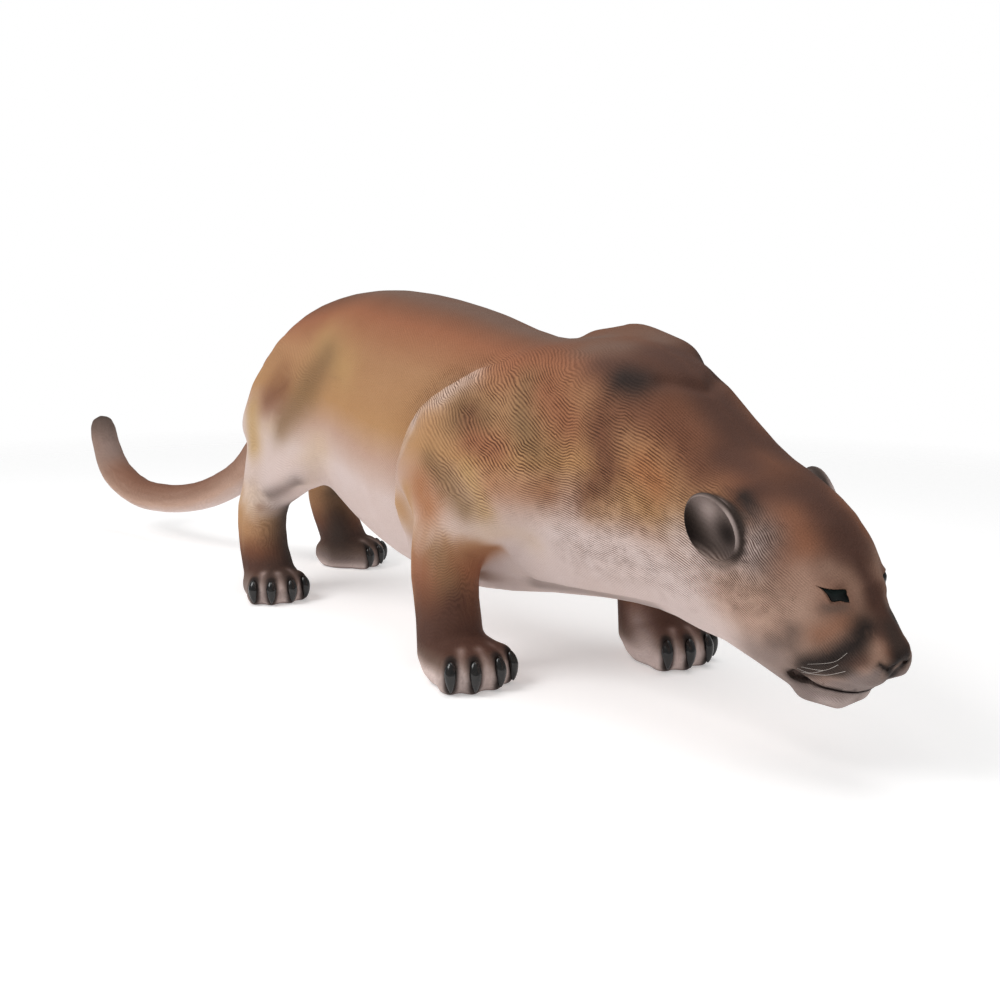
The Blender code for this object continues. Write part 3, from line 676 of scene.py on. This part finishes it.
# Airbrushed strokes: paint, group, radius, strength, path
STROKES = [
    ("taupe", "body", 45, 0.8, (-980, -120, 200), (-1000, -130, 290)),
    ("soot", "body", 30, 0.8, (-998, -130, 260), (-1000, -130, 290)),
    ("drab", "body", 40, 0.85, (-50, 0, 565), (190, -20, 560), (400, 0, 510), (520, 0, 500)),
    ("yellow", "hind", 40, 0.6, (-20, -110, 480), (60, -120, 440)),
    ("olive", "hind", 36, 0.75, (0, -130, 455), (-56, -139, 379), (-110, -145, 330)),
    ("brown", "hind", 36, 0.7, (-120, -140, 400), (-164, -142, 372)),
    # Painted shade: darker taupe under the fold between the lower neck and the chest.
    ("taupe", "body", 16, 0.6, (470, -60, 142), (600, -45, 145), (690, -45, 150)),
    ("brown", "hind", 11, 0.6, (-180, -160, 175), (-130, -155, 170), (-100, -140, 190)),
    ("yellow", "hind", 30, 0.8, (-215, -140, 350), (-200, -152, 290)),
    ("cream", "hind", 20, 0.5, (-150, -155, 330)),
    ("cream", "hind", 30, 0.7, (-10, -135, 300), (-60, -140, 240)),
    ("lilac", "hind", 32, 0.95, (-104, -155, 255), (-60, -150, 248)),
    # Painted shade under the knee's bulge.
    ("taupe", "hind", 15, 0.9, (-150, -155, 200), (-95, -150, 216), (-66, -145, 232)),
    ("cream", "hind", 35, 0.6, (-200, -160, 195)),
    ("ochre", "hind", 16, 0.7, (-235, -150, 200), (-225, -160, 130)),
    ("soot", "hind", 22, 0.6, (-150, -155, 60), (-140, -130, 60)),
    ("taupe", "hind", 20, 0.7, (-190, -180, 20), (-150, -170, 20)),
    # Painted shade: soot on the inner sides of the hind legs, between them.
    ("soot", "hind", 42, 0.95, (-180, -95, 200), (-180, -95, 60)),
    # Painted highlights: lilac along the rear edge of the shoulder blade, and cream along the upper arm's
    # rear rim.
    ("lilac", "fore", 21, 0.8, (300, -137, 368), (350, -121, 414), (390, -104, 436)),
    ("lilac", "fore", 13, 0.65, (246, -142, 270), (268, -143, 331), (290, -140, 368)),
    ("cream", "fore", 8, 0.6, (240, -150, 240), (258, -155, 200), (280, -165, 150)),
    ("olive", "fore", 34, 0.85, (395, -140, 390), (430, -137, 380)),
    ("brown", "fore", 22, 0.6, (405, -137, 385)),
    ("rust", "fore", 26, 0.8, (430, -145, 355), (480, -146, 345)),
    ("olive", "fore", 26, 0.8, (500, -120, 440), (512, -130, 390), (540, -120, 350)),
    ("rust", "fore", 30, 0.8, (540, -110, 430), (585, -110, 390)),
    ("brown", "body", 28, 0.9, (643, -109, 386), (665, -114, 337), (633, -115, 295)),
    ("brown", "body", 30, 0.7, (690, -85, 410), (640, -100, 410)),
    ("umber", "body", 30, 0.85, (690, -60, 440), (610, -70, 470)),
    ("black", "body", 26, 0.95, (672, -73, 449), (655, -78, 452)),
    ("umber", "body", 42, 0.95, (658, -20, 484), (740, -15, 430), (800, 0, 385)),
    ("drab", "body", 32, 0.7, (569, -50, 488), (608, -39, 495)),
    ("brown", "body", 32, 0.85, (720, -70, 415), (785, -80, 352)),
    ("umber", "body", 26, 0.8, (800, -55, 362), (830, -50, 355)),
    ("orange", "body", 28, 0.9, (736, -106, 330), (715, -110, 345)),
    ("lilac", "body", 28, 0.8, (778, -107, 268), (810, -106, 250)),
    ("ochre", "body", 22, 0.6, (718, -112, 295), (640, -115, 280)),
    ("olive", "fore", 22, 0.75, (355, -165, 318), (400, -168, 290), (440, -168, 262)),
    ("yellow", "fore", 18, 0.6, (430, -160, 315), (463, -161, 284), (470, -158, 260)),
    ("orange", "fore", 22, 0.6, (480, -145, 300), (560, -125, 300)),
    ("orange", "fore", 32, 0.85, (335, -173, 280), (363, -173, 255)),
    ("ochre", "fore", 26, 0.85, (250, -150, 235), (275, -160, 195)),
    ("ochre", "fore", 18, 0.8, (300, -170, 270), (320, -180, 190), (330, -185, 120)),
    ("olive", "fore", 24, 0.6, (395, -185, 190), (415, -180, 150)),
    ("umber", "fore", 26, 0.8, (420, -170, 120), (405, -185, 85)),
    ("cream", "fore", 24, 0.6, (470, -150, 225), (520, -120, 215)),
    ("lilac", "body", 35, 0.8, (564, -103, 215), (646, -109, 235), (713, -105, 225), (778, -104, 227),
     (836, -98, 200)),
    ("umber", "body", 22, 0.9, (862, -65, 332), (850, -78, 322)),
    ("black", "body", 11, 0.85, (850, -78, 322), (868, -83, 310)),
    ("umber", "body", 24, 0.75, (900, -40, 325), (940, -22, 297), (965, -20, 270)),
    ("rust", "body", 24, 0.75, (905, -66, 305), (932, -71, 278)),
    ("lilac", "body", 24, 0.85, (812, -106, 258), (838, -104, 242)),
    ("taupe", "body", 28, 0.9, (877, -99, 255), (885, -95, 285)),
    ("lilac", "body", 16, 0.55, (866, -100, 245), (875, -99, 272)),
    ("dust", "body", 16, 0.85, (958, -62, 254), (975, -48, 246), (986, -44, 226), (993, -44, 208)),
    ("pink", "body", 22, 0.65, (935, -80, 245), (945, -77, 228), (932, -82, 205)),
    ("pink", "body", 36, 0.9, (855, -99, 210), (890, -93, 187)),
    ("drab", "body", 14, 0.85, (927, -82, 179), (923, -80, 164), (905, -84, 160)),
    ("taupe", "body", 24, 0.7, (880, -85, 145), (905, -80, 140)),
    ("drab", "body", 7, 0.85, (959, -66, 210), (974, -54, 212)),
    ("rust", "body", 13, 0.45, (956, -70, 180), (979, -60, 194)),
    ("umber", "body", 11, 0.95, (990, -18, 230), (1000, -20, 208), (1013, -23, 190), (1027, -26, 170)),
    ("umber", "body", 11, 0.75, (985, -62, 150), (1000, -52, 158)),
    ("black", "body", 15, 0.97, (940, -71, 140), (968, -67, 152), (983, -61, 164), (992, -53, 176),
     (995, -43, 192)),
    ("soot", "body", 9, 0.95, (935, -68, 132), (962, -64, 138), (985, -60, 142)),
    ("soot", "body", 11, 0.75, (1012, -22, 192), (1028, -26, 168)),
    ("dust", "body", 8, 0.8, (1013, -45, 158), (1012, -41, 174)),
    ("taupe", "body", 9, 0.95, (1015, -46, 144), (1002, -50, 131), (992, -54, 134)),
    ("taupe", "body", 6, 0.75, (960, -50, 121), (985, -47, 121)),
    ("black", "body", 9, 0.95, (1029, -26, 160), (1026, -8, 150)),
    ("black", "body", 6, 0.95, (1020, -28, 147)),
    ("black", "body", 7, 1, (1018, -14, 140), (1012, -12, 134)),
    ("black", "body", 3, 1, (1016, -43, 154), (1019, -40, 151), (1021, -32, 147)),
    ("taupe", "body", 16, 0.8, (933, -51, 103), (955, -38, 98)),
    ("lilac", "body", 11, 0.6, (945, -43, 90), (969, -23, 92)),
    ("black", "body", 9.5, 1, (917, -61, 121), (926, -52, 120)),
    ("black", "body", 2.8, 1, (928, -57, 119), (938, -57, 117), (949, -51, 113), (959, -46, 111),
     (971, -38, 110), (979, -27, 109), (983, -15, 109)),
    ("lilac", "body", 1.6, 0.8, (934, -60, 122.5), (949, -52, 117.5), (960, -47, 115.5), (972, -39, 114.5)),
    ("brown", "fore", 22, 0.85, (370, -105, 150), (390, -108, 100)),
    ("lilac", "fore", 26, 0.85, (400, -94, 65), (430, -98, 30)),
    ("taupe", "fore", 20, 0.7, (450, -205, 15), (480, -170, 12)),
]


def banded(value, bands):
    """A colour for each value, from bands of paint that melt into each other."""
    stops = [stop for stop, _ in bands]
    colours = np.array([PAINTS[paint] for _, paint in bands])
    return np.stack([np.interp(value, stops, colours[:, i]) for i in range(3)], 1)


def covered(colour, paint, cover):
    """The colours under a coat of another paint, by how far it covers each point."""
    return colour + (np.array(paint) - colour) * cover[:, None]


def nearest_node(points):
    """The name of the solid nearest to each point."""
    corners, faces, owners = [], [], []
    for name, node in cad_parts.items():
        base = len(corners)
        corners += [vertex.co.copy() for vertex in node.data.vertices]
        faces += [[base + i for i in polygon.vertices] for polygon in node.data.polygons]
        owners += [name] * len(node.data.polygons)
    tree = BVHTree.FromPolygons(corners, faces)
    return np.array([owners[tree.find_nearest(point)[2]] for point in points.tolist()])


def ear_shares(sides):
    """Each point's place in the ear, as shares of its radii: along, to the front and outwards."""
    place = np.array(ear_place("left", 0, (1, 1, 1)).inverted())
    local = sides.folded["body"] @ place[:3, :3].T + place[:3, 3]
    return (local / EAR_RADII).T


def ear_cover(along, front, deep):
    """1 on the ear, falling to 0 around it and softly at its foot."""
    foot = smoothstep(-0.8 * along - 0.6 * front, 0.35, 0.95)
    away = np.sqrt(along**2 + front**2 + deep**2)
    return (1 - smoothstep(away, 1.06, 1.3)) * (1 - 0.85 * foot)


def ear_paint(colour, sides):
    """Soot outside and along the rear rim, a grey-lilac cup, painted shade in its deep hollow and a pale
    painted highlight along the front rim.
    """
    along, front, deep = ear_shares(sides)
    whole = ear_cover(along, front, deep)
    away = np.hypot(along, front)
    cup = (1 - smoothstep(away, 0.9, 1.02)) * smoothstep(deep, -0.75, -0.55)
    rim = np.exp(-(((away - 0.9) / 0.08) ** 2)) * smoothstep(deep, 0.1, 0.3)
    rim *= smoothstep(-along, -0.55, 0.1)
    covers = (
        ("black", whole),
        ("soot", 0.9 * whole * smoothstep(front, -0.95, -0.5)),
        ("taupe", 0.9 * whole * cup * smoothstep(front, -0.7, 0.05)),
        ("lilac", 0.75 * cup * np.exp(-((along - 0.45) ** 2 + (front - 0.2) ** 2) / 0.14)),
        # Painted shade: black in the cup's deep hollow.
        ("black", cup * np.exp(-((along + 0.35) ** 2 + (front - 0.35) ** 2) / 0.24)),
        # Painted highlight: lilac along the front rim.
        ("lilac", 0.9 * whole * rim * smoothstep(front, 0.25, 0.6)),
    )
    for paint, cover in covers:
        colour = covered(colour, PAINTS[paint], cover * smoothstep(deep, -1.6, -0.9))
    return colour


# Where the ridges run: by group, a place and their fall towards the head in degrees, in side view
COMBS = {
    "fore": (
        ((512, -95, 455), 50), ((345, -115, 432), 68), ((279, -137, 371), 62), ((245, -145, 270), 66),
        ((412, -137, 400), 42), ((467, -146, 345), 36), ((376, -163, 309), 30), ((340, -170, 260), 32),
        ((463, -161, 284), 28), ((462, -160, 240), 24), ((399, -183, 184), 30), ((405, -188, 83), 40),
        ((571, -112, 400), 40), ((530, -110, 370), 44),
    ),
    "body": (
        ((564, -115, 300), 12), ((646, -109, 243), 8), ((660, -110, 380), 32), ((718, -112, 281), 10),
        ((740, -100, 360), 36), ((778, -107, 250), 14), ((200, -130, 400), 40),
        ((809, -106, 257), 30), ((880, -96, 262), 72), ((885, -90, 290), 84), ((850, -100, 225), 36),
        ((890, -93, 190), 34), ((935, -85, 230), 24), ((980, -60, 160), 50), ((940, -65, 105), 70),
    ),
    "hind": (((-60, -139, 379), 34), ((-183, -146, 151), 34)),
}
COMB_REACH = 0.05
PITCH = 0.0031  # from ridge to ridge

# The curves that the ridges start from: the figure's reach along each axis, and the highest powers
CURVE_SPAN = (1.0, 0.2, 0.6)
CURVE_POWERS = (7, 3, 4)
CURVE_POWER_SUM = 8  # all three powers together

# Where the ridges stand proud, and how much: group, radius, strength, path
RELIEF = [
    ("fore", 34, 0.9, (290, -137, 375), (345, -118, 425), (420, -95, 450)),
    ("fore", 24, 0.5, (250, -143, 280), (270, -141, 340)),
    ("fore", 60, 0.75, (400, -137, 400), (520, -100, 430), (560, -112, 400)),
    ("fore", 60, 1.0, (467, -146, 345), (560, -112, 340)),
    ("fore", 40, 0.6, (376, -163, 309), (463, -161, 284)),
    ("fore", 40, 0.3, (399, -183, 200), (420, -170, 150)),
    ("body", 70, 1.0, (600, -115, 300), (700, -112, 300), (778, -107, 277)),
    ("body", 50, 0.8, (640, -100, 400), (740, -100, 360)),
    ("body", 50, 0.7, (600, -105, 220), (800, -105, 220)),
    ("body", 24, 1.3, (870, -98, 245), (885, -92, 285)),
    ("body", 34, 1.1, (820, -104, 245), (860, -100, 215)),
    ("body", 30, 0.7, (905, -85, 225), (890, -93, 190)),
    ("body", 22, 0.4, (980, -60, 160), (950, -68, 140)),
    ("body", 22, 0.4, (940, -65, 105), (960, -50, 100)),
    ("hind", 30, 0.15, (-183, -146, 170), (-183, -146, 120)),
    ("hind", 60, 0.2, (-60, -139, 379)),
]
QUIET = 0.06  # the ridges elsewhere
EAR_QUIET = 0.95  # the share of the ridges that the ears are without
RELIEF_BLEND = 6  # rounds of smoothing


def comb_field(sides, normals):
    """The way across the ridges at each point, in cycles a metre."""
    way = np.zeros_like(normals)
    weight = np.full(len(normals), 1e-9)
    for group, combs in COMBS.items():
        for place, fall in combs:
            a = math.radians(fall)
            near = np.linalg.norm(sides.folded[group] - folded_path([place])[0], axis=1)
            share = 1 / (1 + (near / COMB_REACH) ** 4)
            way += share[:, None] * np.array((math.cos(a), 0, -math.sin(a)))
            weight += share
    way /= weight[:, None]
    way -= (way * normals).sum(axis=1)[:, None] * normals
    way /= np.maximum(np.linalg.norm(way, axis=1), 1e-6)[:, None]
    across = np.cross(normals, way)
    across *= np.where(sides.left, -1, 1)[:, None]
    return across / PITCH


def starting_curves(plain):
    """Smooth curves over the folded figure, one in each column."""
    x, y, z = (folded(plain) / CURVE_SPAN).T
    powers = itertools.product(*(range(highest + 1) for highest in CURVE_POWERS))
    return np.stack([x**i * y**j * z**k for i, j, k in powers if i + j + k <= CURVE_POWER_SUM], 1)


def keep(mesh, name, values):
    """Keeps a number for each point of the mesh."""
    layer = mesh.attributes.new(name, "FLOAT", "POINT")
    layer.data.foreach_set("value", values.astype(np.float32))


def lay_ridges(mesh, net, sides, points):
    """The ridges' running number and how proud they stand, kept on each point."""
    field = comb_field(sides, read(mesh, "normal"))
    steps = ((field[net.a] + field[net.b]) / 2 * (points[net.b] - points[net.a])).sum(axis=1)
    relief = np.full(len(points), QUIET)
    for group, radius, strength, *path in RELIEF:
        relief = np.maximum(relief, strength * sides.spot(group, path, radius))
    relief *= 1 - EAR_QUIET * ear_cover(*ear_shares(sides))
    keep(mesh, "ridge", net.climb(steps, starting_curves(sides.plain)))
    keep(mesh, "relief", net.melted(relief, RELIEF_BLEND))


def base_coat(mesh, net, sides, points):
    """The bands of paint on the trunk, the head, the legs and the tail."""
    plain = sides.plain
    owner = nearest_node(points)

    def share_of(*starts):
        own = np.any([np.char.startswith(owner, start) for start in starts], axis=0)
        return np.clip(net.melted(own.astype(float), COAT_BLEND), 0, 1)

    top = np.interp(plain[:, 0], *zip(*BACK_LINE))
    low = np.interp(plain[:, 0], *zip(*BELLY_LINE))
    height = (plain[:, 2] - low) / (top - low)
    colour = banded(height, BANDS)
    colour = covered(colour, banded(height, HEAD_BANDS), smoothstep(plain[:, 0], *HEAD_FROM))
    x, y, _ = sides.folded["fore"].T
    chest = np.maximum(smoothstep(x, *CHEST_AHEAD), smoothstep(-y, *CHEST_INSIDE))
    chest *= smoothstep(points[:, 2], *CHEST_ABOVE)
    arms = share_of("forearm", "forepaw") * (1 - chest)
    colour = covered(colour, banded(points[:, 2], FORE_BANDS), arms)
    colour = covered(colour, banded(points[:, 2], HIND_BANDS), share_of("hind_foot", "hind_paw"))
    facing_up = read(mesh, "normal")[:, 2] / 2 + 0.5
    return covered(colour, banded(facing_up, TAIL_BANDS), share_of("tail"))


def paint_skin(skin):
    """Lays the paint and the ridges out over the skin's points."""
    mesh = skin.data
    points = read(mesh, "co")
    net = Net(mesh)
    sides = Sides(points)
    colour = base_coat(mesh, net, sides, points)
    for paint, group, radius, strength, *path in STROKES:
        colour = covered(colour, PAINTS[paint], strength * sides.spot(group, path, radius))
    grooves = GROOVE_COVER * near_toe_grooves(points, GROOVE_PAINTED)
    colour = covered(colour, PAINTS["lilac"], np.clip(grooves, 0, 1))
    # Painted shade: black round each claw, as in a shaded recess.
    for name in CLAWS:
        away, _ = path_distance(points, claw_ends(name))
        colour = covered(colour, PAINTS["black"], CLAW_SHADE_COVER * np.exp(-((away / CLAW_SHADE_REACH) ** 4)))
    colour = linear(ear_paint(colour, sides))
    lay_ridges(mesh, net, sides, points)
    layer = mesh.attributes.new("paint", "FLOAT_COLOR", "POINT")
    layer.data.foreach_set("color", np.concatenate((colour, np.ones((len(colour), 1))), 1).ravel())


class Nodes:
    """Short calls for a material's nodes. In a socket's name, _ is a blank, and _2 is socket 2."""

    def __init__(self, name):
        self.material = bpy.data.materials.new(name)
        self.material.use_nodes = True
        self.tree = self.material.node_tree
        self.shader = self.tree.nodes["Principled BSDF"]

    def add(self, kind, **values):
        """A node with some of its settings and sockets set: a link for a socket, or a value."""
        node = self.tree.nodes.new(f"ShaderNode{kind}")
        for name, value in values.items():
            if hasattr(node, name):
                setattr(node, name, value)
            else:
                self.put(node, name, value)
        return node

    def put(self, node, name, value):
        socket = node.inputs[int(name[1:]) if name.startswith("_") else name.replace("_", " ")]
        if isinstance(value, bpy.types.NodeSocket):
            self.tree.links.new(value, socket)
        else:
            socket.default_value = value

    def surface(self, **values):
        """Sets sockets of the shader."""
        for name, value in values.items():
            self.put(self.shader, name, value)

    def math(self, operation, a, b=0.0):
        return self.add("Math", operation=operation, _0=a, _1=b).outputs[0]

    def noise(self, scale, detail=2.0, roughness=0.5):
        where = self.add("TexCoord").outputs["Object"]
        noise = self.add("TexNoise", Vector=where, Scale=scale, Detail=detail, Roughness=roughness)
        return noise.outputs["Fac"]

    def ranged(self, value, low, high, out_low, out_high):
        reach = {"From_Min": low, "From_Max": high, "To_Min": out_low, "To_Max": out_high}
        return self.add("MapRange", Value=value, **reach).outputs[0]

    def tinted(self, colour, factor, tint, blend="MULTIPLY"):
        mix = self.add("Mix", data_type="RGBA", blend_type=blend, _0=factor, _6=colour, _7=tint)
        return mix.outputs[2]


def skin_material():
    """Airbrushed matte paint over moulded ridges and a fine grain, with painted shade in the ridges'
    grooves and a painted highlight on their crests.
    """
    n = Nodes("airbrushed_foam")
    paint = n.add("Attribute", attribute_name="paint").outputs["Color"]
    ridge = n.add("Attribute", attribute_name="ridge").outputs["Fac"]
    relief = n.add("Attribute", attribute_name="relief").outputs["Fac"]
    wander = n.ranged(n.noise(22, 1), 0, 1, -0.4, 0.4)
    small = n.ranged(n.noise(80, 1), 0, 1, -0.12, 0.12)
    cycles = n.math("ADD", n.math("ADD", ridge, wander), small)
    wave = n.math("SINE", n.math("MULTIPLY", cycles, 2 * math.pi))
    breaks = n.ranged(n.noise(60, 2), 0.35, 0.65, 0.45, 1.25)
    height = n.math("MULTIPLY", n.math("MULTIPLY", wave, relief), breaks)
    grain = n.ranged(n.noise(900, 3, 0.7), 0, 1, -1, 1)
    pores = n.ranged(n.noise(330, 2, 0.6), 0, 1, -1, 1)
    fine = n.math("ADD", n.math("MULTIPLY", grain, 0.4), n.math("MULTIPLY", pores, 0.5))
    bump = n.add("Bump", Strength=0.9, Distance=0.001, Height=n.math("ADD", height, fine))
    # How deep each point lies in a ridge's groove, for the painted shade there.
    groove_shade = n.ranged(height, -0.9, 0.1, 0.95, 0.0)
    clouds = n.ranged(n.noise(14, 3), 0.35, 0.75, 0.0, 0.3)
    mottled = n.tinted(paint, clouds, (0.8, 0.7, 0.62, 1))
    specks = n.ranged(n.noise(700, 2, 0.7), 0.45, 0.75, 0.0, 0.35)
    speckled = n.tinted(mottled, specks, (0.72, 0.66, 0.62, 1))
    # Painted shade: darker colour in the ridges' grooves.
    groove_shaded = n.tinted(speckled, groove_shade, (0.3, 0.21, 0.18, 1))
    # Painted highlight: lighter colour on the ridges' crests.
    crest_highlighted = n.tinted(groove_shaded, n.ranged(height, 0.0, 0.9, 0, 1), (1.32, 1.3, 1.28, 1))
    roughness = n.ranged(n.noise(40, 3), 0, 1, 0.62, 0.8)
    n.surface(Base_Color=crest_highlighted, Roughness=roughness, Normal=bump.outputs[0], Specular_IOR_Level=0.18)
    return n.material


def gloss_material(name, dark, light, roughness):
    """Glossy paint, a little uneven."""
    n = Nodes(name)
    colour = n.tinted(dark, n.ranged(n.noise(120, 3), 0.4, 0.7, 0, 1), light, "MIX")
    uneven = n.ranged(n.noise(260, 3), 0, 1, roughness, roughness + 0.12)
    bump = n.add("Bump", Strength=0.15, Distance=0.0005, Height=n.noise(400, 2))
    n.surface(Base_Color=colour, Roughness=uneven, Normal=bump.outputs[0])
    return n.material


def eye_material():
    """Gloss black with a faint grey-green glint painted into its colour."""
    n = Nodes("gloss_eye")
    # Painted glint: patches where the colour turns a little grey-green.
    glint = n.ranged(n.noise(75, 2), 0.48, 0.72, 0, 1)
    colour = n.tinted((0.001, 0.002, 0.002, 1), glint, (0.008, 0.013, 0.012, 1), "MIX")
    roughness = n.ranged(n.noise(90, 2), 0, 1, 0.14, 0.24)
    n.surface(Base_Color=colour, Roughness=roughness, Specular_IOR_Level=0.1)
    return n.material


def placed(piece, slot, material, *replaced):
    """Finishes a piece: its material, its body and the solids that it stands for. The slot is not used."""
    piece.data.materials.clear()
    piece.data.materials.append(material)
    piece.data.shade_smooth()
    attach(piece, "root")
    if replaced:
        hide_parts(*replaced)


# The lens from its back to its front: share of the way out to the lids, depth behind the skin
LENS = (
    (0.3, 0.0085), (1.00, 0.008), (1.1, 0.005), (1.08, 0.0032), (0.85, 0.0024), (0.6, 0.0018),
    (0.3, 0.0015), (0.05, 0.0014),
)
LOOK_FROM = 0.06  # the rays onto the skin start this far from the eye's middle


def lens(side, tree):
    """The eyeball's front: a glossy lens just behind the lids, on rays from the eye's middle."""
    centre = Vector(bent([mirrored(EYE_AT, side)])[0])
    lids = bent(side_run(LIDS, side, 3))
    edge = [(Vector(point) - centre).normalized() for point in lids]
    middle = sum(edge, Vector()).normalized()
    rings = []
    for share, sunk in LENS:
        rays = [middle.lerp(way, share).normalized() for way in edge]
        rings.append([tree.ray_cast(centre + ray * LOOK_FROM, -ray)[0] - ray * sunk for ray in rays])
    return lofted(f"eyeball_{side}", rings)


# A claw from its top to its point: share of the way down, half width, half depth
CLAW_PROFILE = (
    (0.00, 0.1, 0.1), (0.04, 0.4, 0.38), (0.12, 0.68, 0.62), (0.25, 0.9, 0.84), (0.42, 1.00, 0.95),
    (0.6, 0.86, 0.86), (0.78, 0.6, 0.66), (0.92, 0.32, 0.38), (1.00, 0.08, 0.1),
)
CLAW_HALF_WIDTH = 0.0092
CLAW_HALF_DEPTH = 0.0085
CLAW_BULGE = 0.0022  # how far its middle stands out
CLAW_END_POINTS = 6  # as many points of the solid make its end


def claw_ends(name):
    """The top and the point of a solid claw."""
    points = read(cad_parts[name].data, "co")
    order = points[:, 2].argsort()
    return points[order[-CLAW_END_POINTS:]].mean(axis=0), points[order[:CLAW_END_POINTS]].mean(axis=0)


def claw(name):
    """A glossy drop along the solid claw, broad above and pointed below."""
    high, low = claw_ends(name)
    x, y, _ = PAWS[name.removeprefix("claw_")[:-2]]
    outwards = low * (1, 1, 0) - (x, y, 0)
    outwards /= np.linalg.norm(outwards)
    down = low - high
    aside = np.cross(down, outwards)
    aside /= np.linalg.norm(aside)
    out = np.cross(aside, down / np.linalg.norm(down))
    out *= math.copysign(1, out @ outwards)
    rings = []
    for t, wide, deep in smooth_run(CLAW_PROFILE, 3):
        middle = high + down * t + out * CLAW_BULGE * math.sin(math.pi * min(max(t, 0), 1))
        across = aside * CLAW_HALF_WIDTH * wide
        outer = out * CLAW_HALF_DEPTH * deep
        rings.append([middle + across * math.cos(a) + outer * math.sin(a) for a in turns(20)])
    return lofted(f"drop_{name}", rings)


# Whiskers: their root on the muzzle, a place on the way and their tip
WHISKERS = (
    ((985, -60, 164), (973, -68, 152), (943, -73, 143)),
    ((977, -64, 149), (962, -69.5, 140), (935, -73.5, 138)),
    ((985, -60, 143), (963, -66.5, 134), (934, -71, 131)),
    ((959, -65, 138), (944, -68.5, 132), (930, -73, 135)),
)
WHISKER_RADIUS = 0.0003
WHISKER_TAPER = 0.7  # the share of the radius that is gone at the tip


def whiskers(side, material):
    """Thin pale hairs that curve back from the muzzle."""
    hairs = []
    for places in WHISKERS:
        run = mirrored(smooth_run(straightened(np.array(places) / MM), 8), side)
        rings = []
        for i, place in enumerate(run):
            radius = WHISKER_RADIUS * (1 - WHISKER_TAPER * i / len(run))
            rings.append([place + np.array((0, math.cos(a), math.sin(a))) * radius for a in turns(6)])
        hairs.append(rings)
    placed(bend(lofted(f"whiskers_{side}", *hairs)), "pale_coat", material)


def floor():
    """A pale round floor that fades into the white around it."""
    bpy.ops.mesh.primitive_circle_add(vertices=96, radius=FLOOR_RADIUS, fill_type="NGON")
    thing = bpy.context.object
    thing.name = "floor"
    n = Nodes("pale_floor")
    where = n.add("TexCoord").outputs["Object"]
    away = n.add("VectorMath", operation="LENGTH", _0=where).outputs["Value"]
    fade = n.ranged(away, *(FLOOR_RADIUS * share for share in FLOOR_FADE), 1, 0)
    n.surface(Base_Color=(0.88, 0.88, 0.88, 1), Roughness=0.9, Specular_IOR_Level=0.1, Alpha=fade)
    n.surface(Emission_Color=(1, 1, 1, 1), Emission_Strength=0.3)
    thing.data.materials.append(n.material)


def studio_world():
    """White to the eye, and a softer even light on the figure."""
    world = bpy.data.worlds.new("studio")
    world.use_nodes = True
    tree = world.node_tree
    seen = tree.nodes["Background"]
    seen.inputs["Color"].default_value = (1, 1, 1, 1)
    light = tree.nodes.new("ShaderNodeBackground")
    light.inputs["Strength"].default_value = SKY
    mix = tree.nodes.new("ShaderNodeMixShader")
    path = tree.nodes.new("ShaderNodeLightPath")
    sources = (path.outputs["Is Camera Ray"], light.outputs[0], seen.outputs[0])
    for source, socket in zip(sources, mix.inputs):
        tree.links.new(source, socket)
    tree.links.new(mix.outputs[0], tree.nodes["World Output"].inputs[0])
    bpy.context.scene.world = world


def lamps():
    for name, at, size, power in LAMPS:
        light = bpy.data.lights.new(name, "AREA")
        light.size = size
        light.energy = power
        lamp = link(name, light)
        lamp.location = at
        lamp.rotation_euler = (LAMPS_AIM - Vector(at)).to_track_quat("-Z", "Y").to_euler()


def camera():
    """The camera at the photograph's place."""
    optics = bpy.data.cameras.new("camera")
    optics.sensor_width = SENSOR
    optics.lens = SENSOR * FOCAL_PIXELS / PHOTO_WIDTH
    thing = link("camera", optics)
    thing.location = CAMERA_AT
    thing.rotation_euler = (math.pi / 2 - CAMERA_PITCH, 0, CAMERA_HEADING)
    bpy.context.scene.camera = thing
    bpy.context.scene.view_settings.view_transform = "Standard"


def eyes(skin):
    """Both eyes, fitted under the skin before the lids are cut."""
    faces = [polygon.vertices[:] for polygon in skin.data.polygons]
    tree = BVHTree.FromPolygons(read(skin.data, "co").tolist(), faces)
    material = eye_material()
    for side in SIDES:
        placed(lens(side, tree), "eye", material, f"eye_{side}")


def skin_piece():
    """The skin, with the eyes fitted under it on the way."""
    skin = fused_skin()
    melt(skin)
    press(skin)
    eyes(skin)
    open_face(skin)
    thin_out(skin)
    paint_skin(skin)
    unwrap(skin)
    flesh = [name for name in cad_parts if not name.startswith(("eye", "claw"))]
    placed(skin, "coat", skin_material(), *flesh)
    skin.data.set_sharp_from_angle(angle=CREASE)


def main():
    floor()
    studio_world()
    lamps()
    camera()
    skin_piece()
    claw_gloss = gloss_material("gloss_claw", (0.004, 0.004, 0.004, 1), (0.014, 0.012, 0.011, 1), 0.12)
    for name in CLAWS:
        placed(claw(name), "claw", claw_gloss, name)
    hair = gloss_material("whisker", (0.55, 0.48, 0.44, 1), (0.66, 0.6, 0.56, 1), 0.4)
    for side in SIDES:
        whiskers(side, hair)


main()
